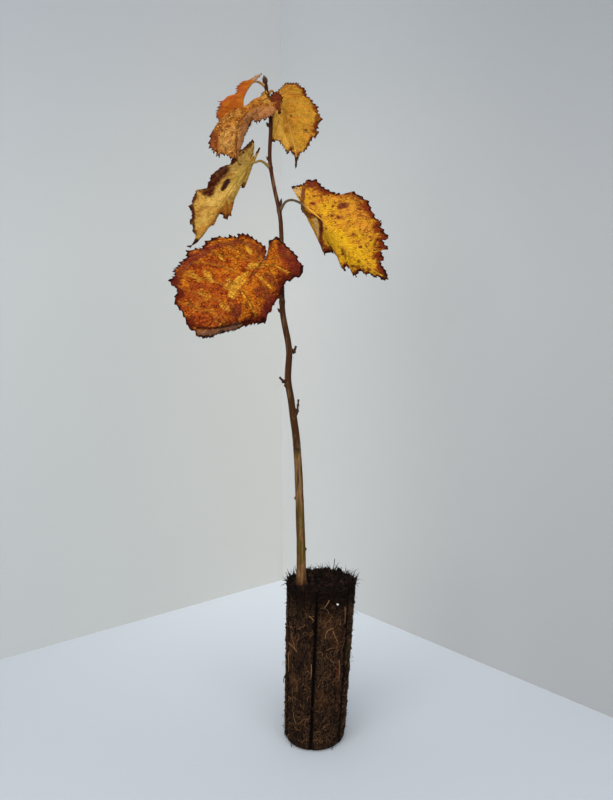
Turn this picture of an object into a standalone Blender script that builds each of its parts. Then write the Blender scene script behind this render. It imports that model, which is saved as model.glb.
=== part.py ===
"""A hazel sapling in autumn leaf, standing on the root ball of the tray cell it grew in.

Metres, +Z up. The origin is the centre of the root ball's flat underside, and -Y is the front.
"""

import math

import bmesh
import bpy
import numpy as np
from mathutils import Vector, noise

GAP = 0.0003  # between neighbouring solids
WELD = 1e-6  # points nearer than this are one
SMOOTH_ANGLE = math.radians(40)  # edges sharper than this stay sharp

# Root ball: a tapered plug, ribbed by its tray cell, that leans a little to +X
BALL_HEIGHT = 0.120
BALL_TOP_RADIUS = 0.025
BALL_RIM_DROP = 0.001  # from its top to the start of its side
BALL_FOOT_RADIUS = 0.0224
BALL_FOOT_ROUND = 0.004
BALL_LEAN = 0.005  # sideways travel of its axis, from underside to top
BALL_SIDE_BANDS = 10
BALL_TOP_RINGS = (0.0, 0.16, 0.34, 0.52, 0.70, 0.86, 0.97)  # as shares of the top's radius
ROUGH_HEIGHT = 0.0005  # of the small unevenness of its side
ROUGH_ROUND, ROUGH_UP = 3, 90  # how finely it varies round the side, and up it per metre
LUMP_HEIGHT = 0.0026  # of the lumps of its top
LUMP_FINENESS = 110  # per metre
LUMP_SEED = Vector((3, 0, 1.7))
CALM_RADIUS = 0.006  # the top stays level this far round the stem, and is lumpy from twice as far
GROOVES = 6
GROOVE_TURN = math.radians(-98)  # where the first groove stands, from +X
GROOVE_DEPTH = 0.0018
GROOVE_WIDTH = 0.0011
GROOVE_COLUMNS = 12
CROWDING = 1.7  # how strongly the columns crowd towards a groove

# Stem: (x, y, z, diameter) at its foot, bends and nodes
FOOT_FLARE = 1.35  # how much wider the foot is than the stem above it
FLARE_HEIGHT = 0.004  # over which the flare fades
FOOT_CUT = 0.0025  # height of the upright stretch above the flat cut
STEM = [
    (-0.0095, -0.008, 0.120, 0.0068),
    (-0.0100, -0.008, 0.154, 0.0064),
    (-0.0125, -0.008, 0.218, 0.0055),
    (-0.0165, -0.008, 0.252, 0.0049),
    (-0.0190, -0.007, 0.269, 0.0047),
    (-0.0181, -0.007, 0.289, 0.0045),
    (-0.0224, -0.007, 0.314, 0.0041),
    (-0.0230, -0.007, 0.333, 0.0033),
    (-0.0238, -0.007, 0.378, 0.0029),
    (-0.0290, -0.007, 0.405, 0.0026),
    (-0.0310, -0.007, 0.420, 0.0024),
    (-0.0303, -0.007, 0.446, 0.0023),
    (-0.0338, -0.007, 0.470, 0.0020),
]
STEM_RINGS = 50
STEM_RESOLUTION = 3  # 10 sides round
STEM_SLACK = 0.0004  # how far the smooth stem strays from straight lines between its points

# Spurs: short dead side shoots, as (height on the stem, turn from +X, rise, length, diameter)
SPURS = {
    "spur_low": (0.2425, -20, 76, 0.0095, 0.0020),
    "spur_middle": (0.2655, 190, 42, 0.0045, 0.0026),
    "spur_high": (0.2850, -5, 48, 0.0045, 0.0026),
}
SPUR_TAPER = 2 / 3
SPUR_RINGS = 4

# Buds: (centre, direction, length, width)
BUDS = [
    ((-0.0340, -0.0070, 0.4715), (-0.2, 0.0, 1.0), 0.0055, 0.0026),
    ((-0.0322, -0.0070, 0.4420), (-0.7, 0.0, 1.0), 0.0042, 0.0022),
    ((-0.0322, -0.0070, 0.4195), (-0.8, 0.0, 1.0), 0.0042, 0.0022),
    ((-0.0236, -0.0066, 0.3905), (0.2, 0.0, 1.0), 0.0060, 0.0021),
    ((-0.0248, -0.0080, 0.3165), (-0.8, -0.2, 1.0), 0.0044, 0.0024),
]
BUD_POINT = 0.35  # how much slimmer a bud is at its tip than at its middle

# Half a hazel blade, as shares of its midrib: sinus, lobe, full side, shoulder, drip tip
HALF_OUTLINE = [
    (0, 0), (-0.05, 0.03), (-0.12, 0.08), (-0.155, 0.16), (-0.12, 0.27), (0, 0.38), (0.14, 0.46),
    (0.33, 0.50), (0.54, 0.50), (0.72, 0.42), (0.85, 0.26), (0.93, 0.09), (1.0, 0.0),
]
LOBE_SETBACK = 0.4  # the blade's middle along the midrib, which the teeth point away from
BLADE_ROWS = 31
BLADE_COLUMNS = 3  # from the midrib to one margin
VEIN_SLANT = 0.45  # how far a side vein's foot lies behind its end on the margin
LEAST_WIDTH = 0.014  # of half a blade beside its tip and its sinus, as a share of the midrib
TOOTH_ROWS = 3
TOOTH_SIZE = 0.026  # as a share of the midrib
TOOTH_FADE = (0.03, 0.93)  # teeth grow from petiole and tip as a sine between these shares of half a turn
MIDRIB_STEPS = 120
BLADE_THICKNESS = 0.0009
BLADE_WELD = 2e-5
PETIOLE_RADIUS = 0.00075
RIB_TIP_RADIUS = 0.00045
PETIOLE_RINGS = 9
RIB_RINGS = 12

LEAF_ROUGHNESS = 0.7
TINTS = {
    "orange leaf": (0.50, 0.17, 0.03),
    "gold leaf": (0.55, 0.32, 0.05),
    "straw leaf": (0.52, 0.40, 0.14),
    "rust leaf": (0.36, 0.10, 0.015),
}

# Each leaf: its node on the stem as (height, turn from +X), what its petiole passes, and its midrib.
# Then for its left and right half the width, the reach of the lobe, and the angles in degrees at which
# the half folds off its face, at even stations from petiole to tip. The face looks to the front.
LEAVES = {
    "leaf_tip_left": dict(
        node=(0.4675, 180),
        tint="orange leaf",
        petiole=[(-0.0385, -0.0085, 0.4695)],
        midrib=[(-0.042, -0.013, 0.467), (-0.048, -0.018, 0.461), (-0.054, -0.022, 0.453),
                (-0.059, -0.024, 0.446), (-0.062, -0.025, 0.439)],
        left=dict(width=[0.25, 0.3, 0.45, 0.5, 0.5, 0.4], lobe=0.6, fold=[-10, -40, -50, -50, -40, -40]),
        right=dict(width=[0.6, 0.62, 0.65, 0.65, 0.7, 0.8], lobe=2.0, fold=[-50, -45, -50, -45, -30, -10]),
    ),
    "leaf_tip_front": dict(
        node=(0.4520, 260),
        tint="orange leaf",
        petiole=[(-0.0312, -0.0118, 0.4550)],
        midrib=[(-0.033, -0.014, 0.455), (-0.044, -0.016, 0.449), (-0.048, -0.017, 0.445),
                (-0.052, -0.017, 0.437), (-0.053, -0.016, 0.426), (-0.052, -0.014, 0.415)],
        left=dict(width=[0.6, 0.5, 0.4, 0.35, 0.4, 0.4], lobe=0.9, fold=[-5, -30, -62, -66, -60, -50]),
        right=dict(width=[0.6, 0.8, 0.8, 0.95, 1.2, 1.35], lobe=0.8, fold=[-30, -58, -58, -38, -20, -10]),
    ),
    "leaf_tip_right": dict(
        node=(0.4620, 60),
        tint="gold leaf",
        petiole=[(-0.0295, -0.0030, 0.4655)],
        midrib=[(-0.027, 0.000, 0.463), (-0.022, 0.001, 0.451), (-0.017, 0.001, 0.437),
                (-0.0125, 0.002, 0.424), (-0.0145, 0.003, 0.417)],
        left=dict(width=[0.85, 0.95, 0.95, 0.9, 0.4, 0.2], lobe=0.7, fold=[0]),
        right=dict(width=[0.7, 0.85, 0.85, 0.75, 0.4, 0.2], lobe=0.8, fold=[-70, -62, -55, -50, -50, -50]),
    ),
    "leaf_middle_left": dict(
        node=(0.4140, 180),
        tint="straw leaf",
        petiole=[(-0.0370, -0.0070, 0.4180), (-0.0410, -0.0075, 0.4170)],
        midrib=[(-0.044, -0.008, 0.415), (-0.056, -0.011, 0.401), (-0.062, -0.012, 0.391),
                (-0.073, -0.012, 0.374), (-0.080, -0.010, 0.364), (-0.088, -0.008, 0.360)],
        left=dict(width=[0.65, 0.65, 0.6, 0.55, 0.5, 0.5], lobe=1.3, fold=[-88, -86, -78, -70, -76, -85]),
        right=dict(width=[0.75, 0.65, 0.65, 0.72, 0.65, 0.5], lobe=1.6, fold=[-45, -45, -48, -30, -35, -50]),
    ),
    "leaf_middle_right": dict(
        node=(0.3850, -10),
        tint="gold leaf",
        petiole=[(-0.0202, -0.0078, 0.3905), (-0.0165, -0.0080, 0.3917), (-0.0130, -0.0080, 0.3910)],
        midrib=[(-0.009, -0.008, 0.390), (-0.003, -0.010, 0.384), (0.011, -0.012, 0.371),
                (0.029, -0.011, 0.356), (0.051, -0.008, 0.338)],
        left=dict(width=[0.5, 0.54, 0.78, 0.74, 0.66, 0.6], lobe=1.2, fold=[0]),
        right=dict(width=[0.7, 0.75, 0.75, 0.72, 0.7, 0.7], lobe=0.8, fold=[-86, -78, -64, -64, -60, -60]),
    ),
    "leaf_low_front": dict(
        node=(0.3230, 262),
        tint="rust leaf",
        petiole=[(-0.0265, -0.0125, 0.3330), (-0.0305, -0.0170, 0.3450)],
        midrib=[(-0.035, -0.020, 0.349), (-0.045, -0.026, 0.336), (-0.052, -0.032, 0.323),
                (-0.059, -0.038, 0.312), (-0.067, -0.045, 0.300), (-0.070, -0.050, 0.299)],
        left=dict(width=[1.0, 0.85, 0.75, 0.65, 0.5, 0.4], lobe=2.4, fold=[5, 0, -10, -20, -25, -30],
                  curl=[-50, -60, -60, -55, -40, -20]),
        right=dict(width=[1.05, 1.15, 1.2, 1.35, 1.5, 2.2], lobe=1.1, fold=[0]),
    ),
}
FACING = np.array([0.0, -1.0, 0.0])


def clear_scene():
    for obj in list(bpy.data.objects):
        bpy.data.objects.remove(obj)


def new_collection(name):
    collection = bpy.data.collections.new(name)
    bpy.context.scene.collection.children.link(collection)
    return collection


def new_object(name, mesh, collection):
    obj = bpy.data.objects.new(name, mesh)
    collection.objects.link(obj)
    return obj


def material(name, colour, roughness):
    made = bpy.data.materials.new(name)
    made.use_nodes = True
    shader = made.node_tree.nodes["Principled BSDF"]
    shader.inputs["Base Color"].default_value = (*colour, 1)
    shader.inputs["Roughness"].default_value = roughness
    shader.inputs["Metallic"].default_value = 0.0
    return made


def finish(obj, look):
    obj.data.materials.clear()
    obj.data.materials.append(look)
    obj.data.shade_smooth()
    obj.data.set_sharp_from_angle(angle=SMOOTH_ANGLE)


def realised(obj):
    """The object with its modifiers or curve settings turned into a plain mesh object."""
    bpy.context.view_layer.update()
    graph = bpy.context.evaluated_depsgraph_get()
    mesh = bpy.data.meshes.new_from_object(obj.evaluated_get(graph))
    solid = new_object(obj.name + ".solid", mesh, obj.users_collection[0])
    solid.matrix_world = obj.matrix_world
    name = obj.name
    bpy.data.objects.remove(obj)
    solid.name = name
    return solid


def weld(obj):
    """Merges the points where separate faces, such as a curve's caps, meet."""
    shape = bmesh.new()
    shape.from_mesh(obj.data)
    bmesh.ops.remove_doubles(shape, verts=shape.verts, dist=WELD)
    shape.to_mesh(obj.data)
    shape.free()
    return obj


def unit(vectors):
    return vectors / np.maximum(np.linalg.norm(vectors, axis=-1, keepdims=True), 1e-12)


def at_stations(values, share):
    """Reads values that stand at even stations from 0 to 1."""
    return np.interp(share, np.linspace(0, 1, len(values)), values)


def smooth_path(points, count):
    """count points on a Catmull-Rom curve through the given ones, evenly spaced by chord."""
    knots = np.array(points, float)
    chords = np.concatenate([[0], np.cumsum(np.linalg.norm(np.diff(knots[:, :3], axis=0), axis=1))])
    ends = 2 * knots[0] - knots[1], 2 * knots[-1] - knots[-2]
    knots = np.vstack([ends[0], knots, ends[1]])
    times = np.concatenate([[-chords[1]], chords, [2 * chords[-1] - chords[-2]]])
    wanted = np.linspace(0, chords[-1], count)
    leg = np.clip(np.searchsorted(chords, wanted, side="right") - 1, 0, len(chords) - 2)
    span = (chords[leg + 1] - chords[leg])[:, None]
    share = (wanted - chords[leg])[:, None] / span
    out_slope = (knots[leg + 2] - knots[leg]) / (times[leg + 2] - times[leg])[:, None] * span
    in_slope = (knots[leg + 3] - knots[leg + 1]) / (times[leg + 3] - times[leg + 1])[:, None] * span
    return (
        (2 * share**3 - 3 * share**2 + 1) * knots[leg + 1]
        + (share**3 - 2 * share**2 + share) * out_slope
        + (3 * share**2 - 2 * share**3) * knots[leg + 2]
        + (share**3 - share**2) * in_slope
    )


def tube(name, points, radii, collection, resolution=1):
    """A round limb along the points, with its own radius at each, as a closed mesh."""
    curve = bpy.data.curves.new(name, "CURVE")
    curve.dimensions = "3D"
    curve.bevel_depth = 1.0
    curve.bevel_resolution = resolution
    curve.use_fill_caps = True
    spline = curve.splines.new("POLY")
    spline.points.add(len(points) - 1)
    for point, place, radius in zip(spline.points, points, radii):
        point.co = (*place, 1)
        point.radius = radius
    return weld(realised(new_object(name, curve, collection)))


def fuse(base, extras):
    """Joins the objects of the extras collection to base with one Boolean union."""
    union = base.modifiers.new("fuse", "BOOLEAN")
    union.operation = "UNION"
    union.operand_type = "COLLECTION"
    union.collection = extras
    union.solver = "MANIFOLD"
    whole = weld(realised(base))
    for obj in list(extras.objects):
        bpy.data.objects.remove(obj)
    bpy.data.collections.remove(extras)
    return whole


def ball_profile():
    """(radius, height) points from the middle of the top, down the side, to the middle of the underside."""
    top = [(share * BALL_TOP_RADIUS, BALL_HEIGHT) for share in BALL_TOP_RINGS]
    rim, foot_top = BALL_HEIGHT - BALL_RIM_DROP, BALL_FOOT_ROUND
    side = [
        (BALL_TOP_RADIUS + (BALL_FOOT_RADIUS - BALL_TOP_RADIUS) * share, rim + (foot_top - rim) * share)
        for share in np.linspace(0, 1, BALL_SIDE_BANDS + 1)
    ]
    inner = BALL_FOOT_RADIUS - BALL_FOOT_ROUND
    foot = [
        (inner + BALL_FOOT_ROUND * math.cos(turn), BALL_FOOT_ROUND * (1 - math.sin(turn)))
        for turn in np.radians([30, 60, 90])
    ]
    return [*top, *side, *foot, (inner / 2, 0.0), (0.0, 0.0)]


def ball_skin(place):
    """Moves a point of the plain turned plug: grooves and a rough side, the lean, and a lumpy top."""
    x, y, z = place
    radius, angle = math.hypot(x, y), math.atan2(y, x)
    sector = 2 * math.pi / GROOVES
    off_groove = (angle / sector - round(angle / sector)) * 2
    crowded = math.copysign(abs(off_groove) ** CROWDING, off_groove)
    angle += (crowded - off_groove) * sector / 2 + GROOVE_TURN
    height = z / BALL_HEIGHT
    if radius > BALL_FOOT_RADIUS - BALL_FOOT_ROUND and z > 0:
        rim = min(radius / BALL_FOOT_RADIUS, 1) ** 6
        across = crowded * sector / 2 * radius / GROOVE_WIDTH
        radius -= GROOVE_DEPTH * math.exp(-across * across) * rim
        where = Vector((math.cos(angle) * ROUGH_ROUND, math.sin(angle) * ROUGH_ROUND, z * ROUGH_UP))
        radius += ROUGH_HEIGHT * noise.noise(where)
    x, y = radius * math.cos(angle) + BALL_LEAN * height, radius * math.sin(angle)
    if z > BALL_HEIGHT - BALL_RIM_DROP / 2:
        foot_x, foot_y = STEM[0][:2]
        away = math.hypot(x - foot_x, y - foot_y)
        calm = min(max(away / CALM_RADIUS - 1, 0), 1)
        z += LUMP_HEIGHT * calm * noise.noise(Vector((x, y, 0)) * LUMP_FINENESS + LUMP_SEED) - GAP
    return x, y, z


def root_ball(plant):
    profile = ball_profile()
    mesh = bpy.data.meshes.new("root_ball")
    mesh.from_pydata([(r, 0, z) for r, z in profile], [(i, i + 1) for i in range(len(profile) - 1)], [])
    plug = new_object("root_ball", mesh, plant)
    turn = plug.modifiers.new("turn", "SCREW")
    turn.axis = "Z"
    turn.steps = turn.render_steps = GROOVES * GROOVE_COLUMNS
    turn.use_merge_vertices = True
    turn.merge_threshold = WELD
    turn.use_normal_calculate = False
    ball = weld(realised(plug))
    for vertex in ball.data.vertices:
        vertex.co = ball_skin(vertex.co)
    finish(ball, material("peat", (0.030, 0.019, 0.012), 0.95))


def stem_radius(height):
    """Half the stem's diameter at a height, with the flare of its foot."""
    heights = [z for _, _, z, _ in STEM]
    flare = 1 + (FOOT_FLARE - 1) * np.exp(-(height - heights[0]) / FLARE_HEIGHT)
    return np.interp(height, heights, [d / 2 for *_, d in STEM]) * flare


def bud(name, centre, direction, length, width, collection):
    """A pointed egg: a sphere stretched along its own axis and drawn in towards its tip."""
    shape = bmesh.new()
    bmesh.ops.create_uvsphere(shape, u_segments=8, v_segments=6, radius=1)
    turn = Vector((0, 0, 1)).rotation_difference(Vector(direction)).to_matrix()
    for vertex in shape.verts:
        x, y, z = vertex.co
        slim = (1 - BUD_POINT * z) * width / 2
        vertex.co = Vector(centre) + turn @ Vector((x * slim, y * slim, z * length / 2))
    mesh = bpy.data.meshes.new(name)
    shape.to_mesh(mesh)
    shape.free()
    return new_object(name, mesh, collection)


def stem(plant):
    path = smooth_path([point[:3] for point in STEM], STEM_RINGS)
    # the foot is a flat cut, so its first two rings stand one above the other
    path = np.insert(path, 1, path[0] + (0, 0, FOOT_CUT), axis=0)
    trunk = tube("stem", path, stem_radius(path[:, 2]), plant, STEM_RESOLUTION)
    extras = new_collection("stem extras")
    for number, place in enumerate(BUDS):
        bud(f"bud {number}", *place, extras)
    finish(fuse(trunk, extras), material("bark", (0.16, 0.095, 0.045), 0.6))


def stem_centre(height):
    heights = [place[2] for place in STEM]
    return np.array([np.interp(height, heights, [place[axis] for place in STEM]) for axis in range(3)])


def beside_stem(height, turn, way, radius):
    """Where a shoot of this radius, which sets out along the given way, starts clear of the stem."""
    rise = abs(way[2]) / np.linalg.norm(way)
    out = np.array([math.cos(math.radians(turn)), math.sin(math.radians(turn)), 0])
    return stem_centre(height) + out * (stem_radius(height) + GAP + STEM_SLACK + radius * rise)


def spurs(plant):
    look = material("dead wood", (0.12, 0.075, 0.045), 0.8)
    for name, (height, turn, rise, length, width) in SPURS.items():
        out, up = math.radians(turn), math.radians(rise)
        run = length * np.array([math.cos(out) * math.cos(up), math.sin(out) * math.cos(up), math.sin(up)])
        start = beside_stem(height, turn, run, width / 2)
        radii = np.linspace(width / 2, width / 2 * SPUR_TAPER, SPUR_RINGS)
        finish(tube(name, smooth_path([start, start + run], SPUR_RINGS), radii, plant), look)


def half_blade(leaf, half, side, shares):
    """Points of one half of a blade, as rows along its margin by columns from the midrib out.

    Each row is a side vein. It starts on the midrib and runs out to the margin, and it turns off the
    leaf's face by its fold, plus its curl times how far out it is. The place of a point is the midrib
    there, plus the sums of the cosines and sines of that angle along and off the face.
    """
    path = smooth_path(leaf["midrib"], MIDRIB_STEPS)
    arc = np.concatenate([[0], np.cumsum(np.linalg.norm(np.diff(path, axis=0), axis=1))])
    length = arc[-1]
    along = unit(np.gradient(path, arc, axis=0))
    margin = smooth_path(HALF_OUTLINE, BLADE_ROWS)
    reach, width = margin[:, 0], margin[:, 1]
    reach = np.where(reach < 0, reach * half["lobe"], reach)
    width = width * at_stations(half["width"], np.clip(reach, 0, 1))
    # teeth stand out square to the margin
    tooth = (np.arange(BLADE_ROWS) % TOOTH_ROWS) / (TOOTH_ROWS - 1) - 0.5
    fade = np.sqrt(np.sin(np.pi * np.linspace(*TOOTH_FADE, BLADE_ROWS)))
    outward = unit(np.stack([-np.gradient(width), np.gradient(reach)], axis=1))
    centred = np.stack([reach - LOBE_SETBACK, width], axis=1)
    outward *= np.sign((outward * centred).sum(axis=1, keepdims=True))
    reach = reach + outward[:, 0] * tooth * fade * TOOTH_SIZE
    width = width + outward[:, 1] * tooth * fade * TOOTH_SIZE
    width = np.maximum(width, LEAST_WIDTH)
    width[[0, -1]] = 0
    foot = np.clip(reach - width * VEIN_SLANT, 0, 1)
    x = foot[:, None] + (reach - foot)[:, None] * shares
    inside = np.clip(x, 0, 1)
    curl = at_stations(half.get("curl", [0]), inside)
    angle = np.radians(at_stations(half["fold"], inside) + curl * shares)
    step = np.diff(shares) * width[:, None] * length
    middle = (angle[:, 1:] + angle[:, :-1]) / 2
    start = np.zeros((BLADE_ROWS, 1))
    sideways = np.concatenate([start, np.cumsum(np.cos(middle) * step, axis=1)], axis=1)
    off_face = np.concatenate([start, np.cumsum(np.sin(middle) * step, axis=1)], axis=1)
    on_rib = inside * length
    rib = np.stack([np.interp(on_rib, arc, path[:, axis]) for axis in range(3)], axis=-1)
    ahead = unit(np.stack([np.interp(on_rib, arc, along[:, axis]) for axis in range(3)], axis=-1))
    rib = rib + ahead * ((x - inside) * length)[..., None]
    normal = unit(FACING - (ahead @ FACING)[..., None] * ahead)
    across = np.cross(normal, ahead) * side
    return rib + across * sideways[..., None] + normal * off_face[..., None]


def blade(name, leaf, plant):
    """A grid laid out from margin to midrib to margin, then given its thickness."""
    shares = np.linspace(0, 1, BLADE_COLUMNS + 1)
    left = half_blade(leaf, leaf["left"], 1, shares)
    right = half_blade(leaf, leaf["right"], -1, shares)
    places = np.concatenate([left[:, ::-1], right[:, 1:]], axis=1)
    columns = places.shape[1]
    shape = bmesh.new()
    bmesh.ops.create_grid(shape, x_segments=columns - 1, y_segments=BLADE_ROWS - 1, size=1)
    for vertex, place in zip(list(shape.verts), places.reshape(-1, 3)):
        vertex.co = place
    bmesh.ops.remove_doubles(shape, verts=shape.verts, dist=BLADE_WELD)
    mesh = bpy.data.meshes.new(name)
    shape.to_mesh(mesh)
    shape.free()
    obj = new_object(name, mesh, plant)
    thick = obj.modifiers.new("thickness", "SOLIDIFY")
    thick.thickness = BLADE_THICKNESS
    thick.offset = 0
    return realised(obj)


def leaf_node(name, leaf, plant, look):
    """The blade fused with its petiole, which runs on as the midrib."""
    whole = blade(name, leaf, plant)
    extras = new_collection(name + " extras")
    height, turn = leaf["node"]
    start = beside_stem(height, turn, leaf["petiole"][0] - stem_centre(height), PETIOLE_RADIUS)
    stalk = smooth_path([start, *leaf["petiole"], *leaf["midrib"]], PETIOLE_RINGS + RIB_RINGS)
    radii = np.linspace(PETIOLE_RADIUS, RIB_TIP_RADIUS, len(stalk))
    tube(name + " stalk", stalk[:-1], radii[:-1], extras)
    finish(fuse(whole, extras), look)


def main():
    clear_scene()
    plant = new_collection("hazel sapling")
    root_ball(plant)
    stem(plant)
    spurs(plant)
    looks = {name: material(name, colour, LEAF_ROUGHNESS) for name, colour in TINTS.items()}
    for name, leaf in LEAVES.items():
        leaf_node(name, leaf, plant, looks[leaf["tint"]])


main()
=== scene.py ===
import math

import bmesh
import bpy
import numpy as np
from mathutils import Matrix


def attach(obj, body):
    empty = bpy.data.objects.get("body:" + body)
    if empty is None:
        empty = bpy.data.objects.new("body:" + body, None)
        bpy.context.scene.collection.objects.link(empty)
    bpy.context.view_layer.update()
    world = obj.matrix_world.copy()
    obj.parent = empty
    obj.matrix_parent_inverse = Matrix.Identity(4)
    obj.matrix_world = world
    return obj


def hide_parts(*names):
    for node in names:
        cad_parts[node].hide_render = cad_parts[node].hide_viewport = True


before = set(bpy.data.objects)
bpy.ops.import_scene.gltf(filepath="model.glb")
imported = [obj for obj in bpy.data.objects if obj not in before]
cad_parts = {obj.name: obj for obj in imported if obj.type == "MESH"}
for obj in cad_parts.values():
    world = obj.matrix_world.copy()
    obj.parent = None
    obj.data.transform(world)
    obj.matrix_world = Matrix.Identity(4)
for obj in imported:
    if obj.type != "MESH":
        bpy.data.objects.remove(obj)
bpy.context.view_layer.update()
print("frame loaded:", len(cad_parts), "nodes")


weldDistance = 2e-7  # points of a piece nearer than this are one


def unit(vectors):
    # each vector over its own length
    return vectors / np.maximum(np.linalg.norm(vectors, axis=-1, keepdims=True), 1e-12)


def ease(low, high, value):
    # 0 up to low, 1 from high on, and 3t^2 - 2t^3 between
    t = np.clip((value - low) / (high - low), 0, 1)
    return t * t * (3 - 2 * t)


def stations(values, share):
    # reads values that stand at even stations from 0 to 1
    return np.interp(share, np.linspace(0, 1, len(values)), values)


def cloud(places, size, seed):
    # soft noise from -1 to 1: random numbers on a lattice of this cell size, eased between its corners
    table = np.random.default_rng(seed).uniform(-1, 1, (32, 32, 32))
    cell = places / size
    low = np.floor(cell).astype(int)
    t = cell - low
    t = t * t * (3 - 2 * t)
    total = 0
    for corner in np.ndindex(2, 2, 2):
        weight = np.prod(np.where(corner, t, 1 - t), axis=-1)
        index = (low + corner) % 32
        total = total + weight * table[index[..., 0], index[..., 1], index[..., 2]]
    return total


def smoothPath(points, count):
    # Catmull-Rom curve through the points, read at even steps of chord length
    knots = np.array(points, float)
    chords = np.concatenate([[0], np.cumsum(np.linalg.norm(np.diff(knots[:, :3], axis=0), axis=1))])
    knots = np.vstack([2 * knots[0] - knots[1], knots, 2 * knots[-1] - knots[-2]])
    times = np.concatenate([[-chords[1]], chords, [2 * chords[-1] - chords[-2]]])
    wanted = np.linspace(0, chords[-1], count)
    leg = np.clip(np.searchsorted(chords, wanted, side="right") - 1, 0, len(chords) - 2)
    span = (chords[leg + 1] - chords[leg])[:, None]
    t = (wanted - chords[leg])[:, None] / span
    slopeOut = (knots[leg + 2] - knots[leg]) / (times[leg + 2] - times[leg])[:, None] * span
    slopeIn = (knots[leg + 3] - knots[leg + 1]) / (times[leg + 3] - times[leg + 1])[:, None] * span
    return ((2 * t**3 - 3 * t**2 + 1) * knots[leg + 1] + (t**3 - 2 * t**2 + t) * slopeOut
            + (3 * t**2 - 2 * t**3) * knots[leg + 2] + (t**3 - t**2) * slopeIn)


# the camera. Leaf ribs, rims, blotches and the plug's marks are spots in its picture: pixels across and
# down
view = dict(place=(-0.0059, -0.4994, 0.302), tilt=5.6, lens=31.5, sensor=36, width=613, height=800)
pixelsPerSlope = view["lens"] / view["sensor"] * view["height"]
pictureMiddle = view["width"] / 2, view["height"] / 2
viewTilt = math.radians(view["tilt"])
viewAxes = np.array([(1, 0, 0), (0, math.sin(viewTilt), math.cos(viewTilt)),
                     (0, math.cos(viewTilt), -math.sin(viewTilt))])  # right, up and ahead


def placesAt(spots, depth):
    # the places with this y that the camera sees at the spots
    slopes = (np.array(spots, float) - pictureMiddle) * (1, -1) / pixelsPerSlope
    rays = np.concatenate([slopes, np.ones_like(slopes[..., :1])], axis=-1) @ viewAxes
    return view["place"] + rays * ((depth - view["place"][1]) / rays[..., 1])[..., None]


def spotsOf(places):
    # the spots at which the camera sees the places
    seen = (places - view["place"]) @ viewAxes.T
    return seen[..., :2] / seen[..., 2:] * pixelsPerSlope * (1, -1) + pictureMiddle


def tubePoints(paths, radii, sides):
    # rings round one path or many: path + radius * (a cos turn + b sin turn), with a and b square to the
    # path. The first and the last ring close to a point.
    paths = np.concatenate([paths[..., :1, :], paths, paths[..., -1:, :]], axis=-2)
    radii = np.concatenate([radii[..., :1] * 0, radii, radii[..., -1:] * 0], axis=-1)
    ahead = unit(np.gradient(paths, axis=-2))
    lean = np.argmin(np.abs(ahead.mean(axis=-2)), axis=-1)
    fixed = np.eye(3)[lean][..., None, :]
    a = unit(np.cross(ahead, fixed))
    b = np.cross(ahead, a)
    turn = np.linspace(0, 2 * np.pi, sides, endpoint=False)[:, None]
    ring = a[..., None, :] * np.cos(turn) + b[..., None, :] * np.sin(turn)
    return paths[..., None, :] + radii[..., None, None] * ring


def gridFaces(rows, columns, copies=1, closed=False):
    # four corners of each cell of a grid that is counted row by row, for as many grids as there are copies
    index = np.arange(rows * columns).reshape(rows, columns)
    if closed:
        index = np.concatenate([index, index[:, :1]], axis=1)
    cells = np.stack([index[:-1, :-1], index[:-1, 1:], index[1:, 1:], index[1:, :-1]], axis=-1).reshape(-1, 4)
    return (cells + (np.arange(copies) * rows * columns)[:, None, None]).reshape(-1, 4)


def makePiece(name, points, faces, look, slot, replaces=(), **masks):
    # a mesh with its seams and poles welded shut, its faces turned outwards and a number on each point
    # per mask
    mesh = bpy.data.meshes.new(name)
    mesh.from_pydata(points.reshape(-1, 3), [], faces)
    for mask, values in masks.items():
        values = np.ascontiguousarray(np.broadcast_to(values, points.shape[:-1]), np.float32)
        mesh.attributes.new(mask, "FLOAT", "POINT").data.foreach_set("value", values.ravel())
    shape = bmesh.new()
    shape.from_mesh(mesh)
    bmesh.ops.remove_doubles(shape, verts=shape.verts, dist=weldDistance)
    bmesh.ops.recalc_face_normals(shape, faces=shape.faces)
    shape.to_mesh(mesh)
    shape.free()
    mesh.shade_smooth()
    mesh.materials.append(look)
    piece = bpy.data.objects.new(name, mesh)
    bpy.context.scene.collection.objects.link(piece)
    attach(piece, "root")
    if replaces:
        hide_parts(*replaces)
    return piece


def paint(red, green, blue):
    # a colour as 0 to 255 on screen, turned into the linear light that the shaders use
    screen = np.array([red, green, blue]) / 255
    return (*np.where(screen > 0.04045, ((screen + 0.055) / 1.055) ** 2.4, screen / 12.92), 1)


class Signal:
    # a value in a shader's node tree; arithmetic on it adds a Math node

    def __init__(self, socket):
        self.socket = socket

    def __add__(self, other):
        return calc("ADD", self, other)

    def __radd__(self, other):
        return calc("ADD", other, self)

    def __sub__(self, other):
        return calc("SUBTRACT", self, other)

    def __rsub__(self, other):
        return calc("SUBTRACT", other, self)

    def __mul__(self, other):
        return calc("MULTIPLY", self, other)

    def __truediv__(self, other):
        return calc("DIVIDE", self, other)


def place(tree, kind, inputs=None, **settings):
    # a node with its settings, whose inputs are numbers, colours or other nodes' outputs
    made = tree.nodes.new("ShaderNode" + kind)
    for key, value in settings.items():
        setattr(made, key, value)
    for key, value in (inputs or {}).items():
        value = value.socket if isinstance(value, Signal) else value
        if isinstance(value, bpy.types.NodeSocket):
            tree.links.new(value, made.inputs[key])
        else:
            made.inputs[key].default_value = value
    return made


def calc(operation, *values, clamp=False):
    # a Math node in the tree that its values are in
    tree = next(value.socket.id_data for value in values if isinstance(value, Signal))
    return Signal(place(tree, "Math", dict(enumerate(values)), operation=operation,
                        use_clamp=clamp).outputs[0])


def send(value, socket):
    # links a value to a group's output
    socket.id_data.links.new(value.socket, socket)


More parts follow.
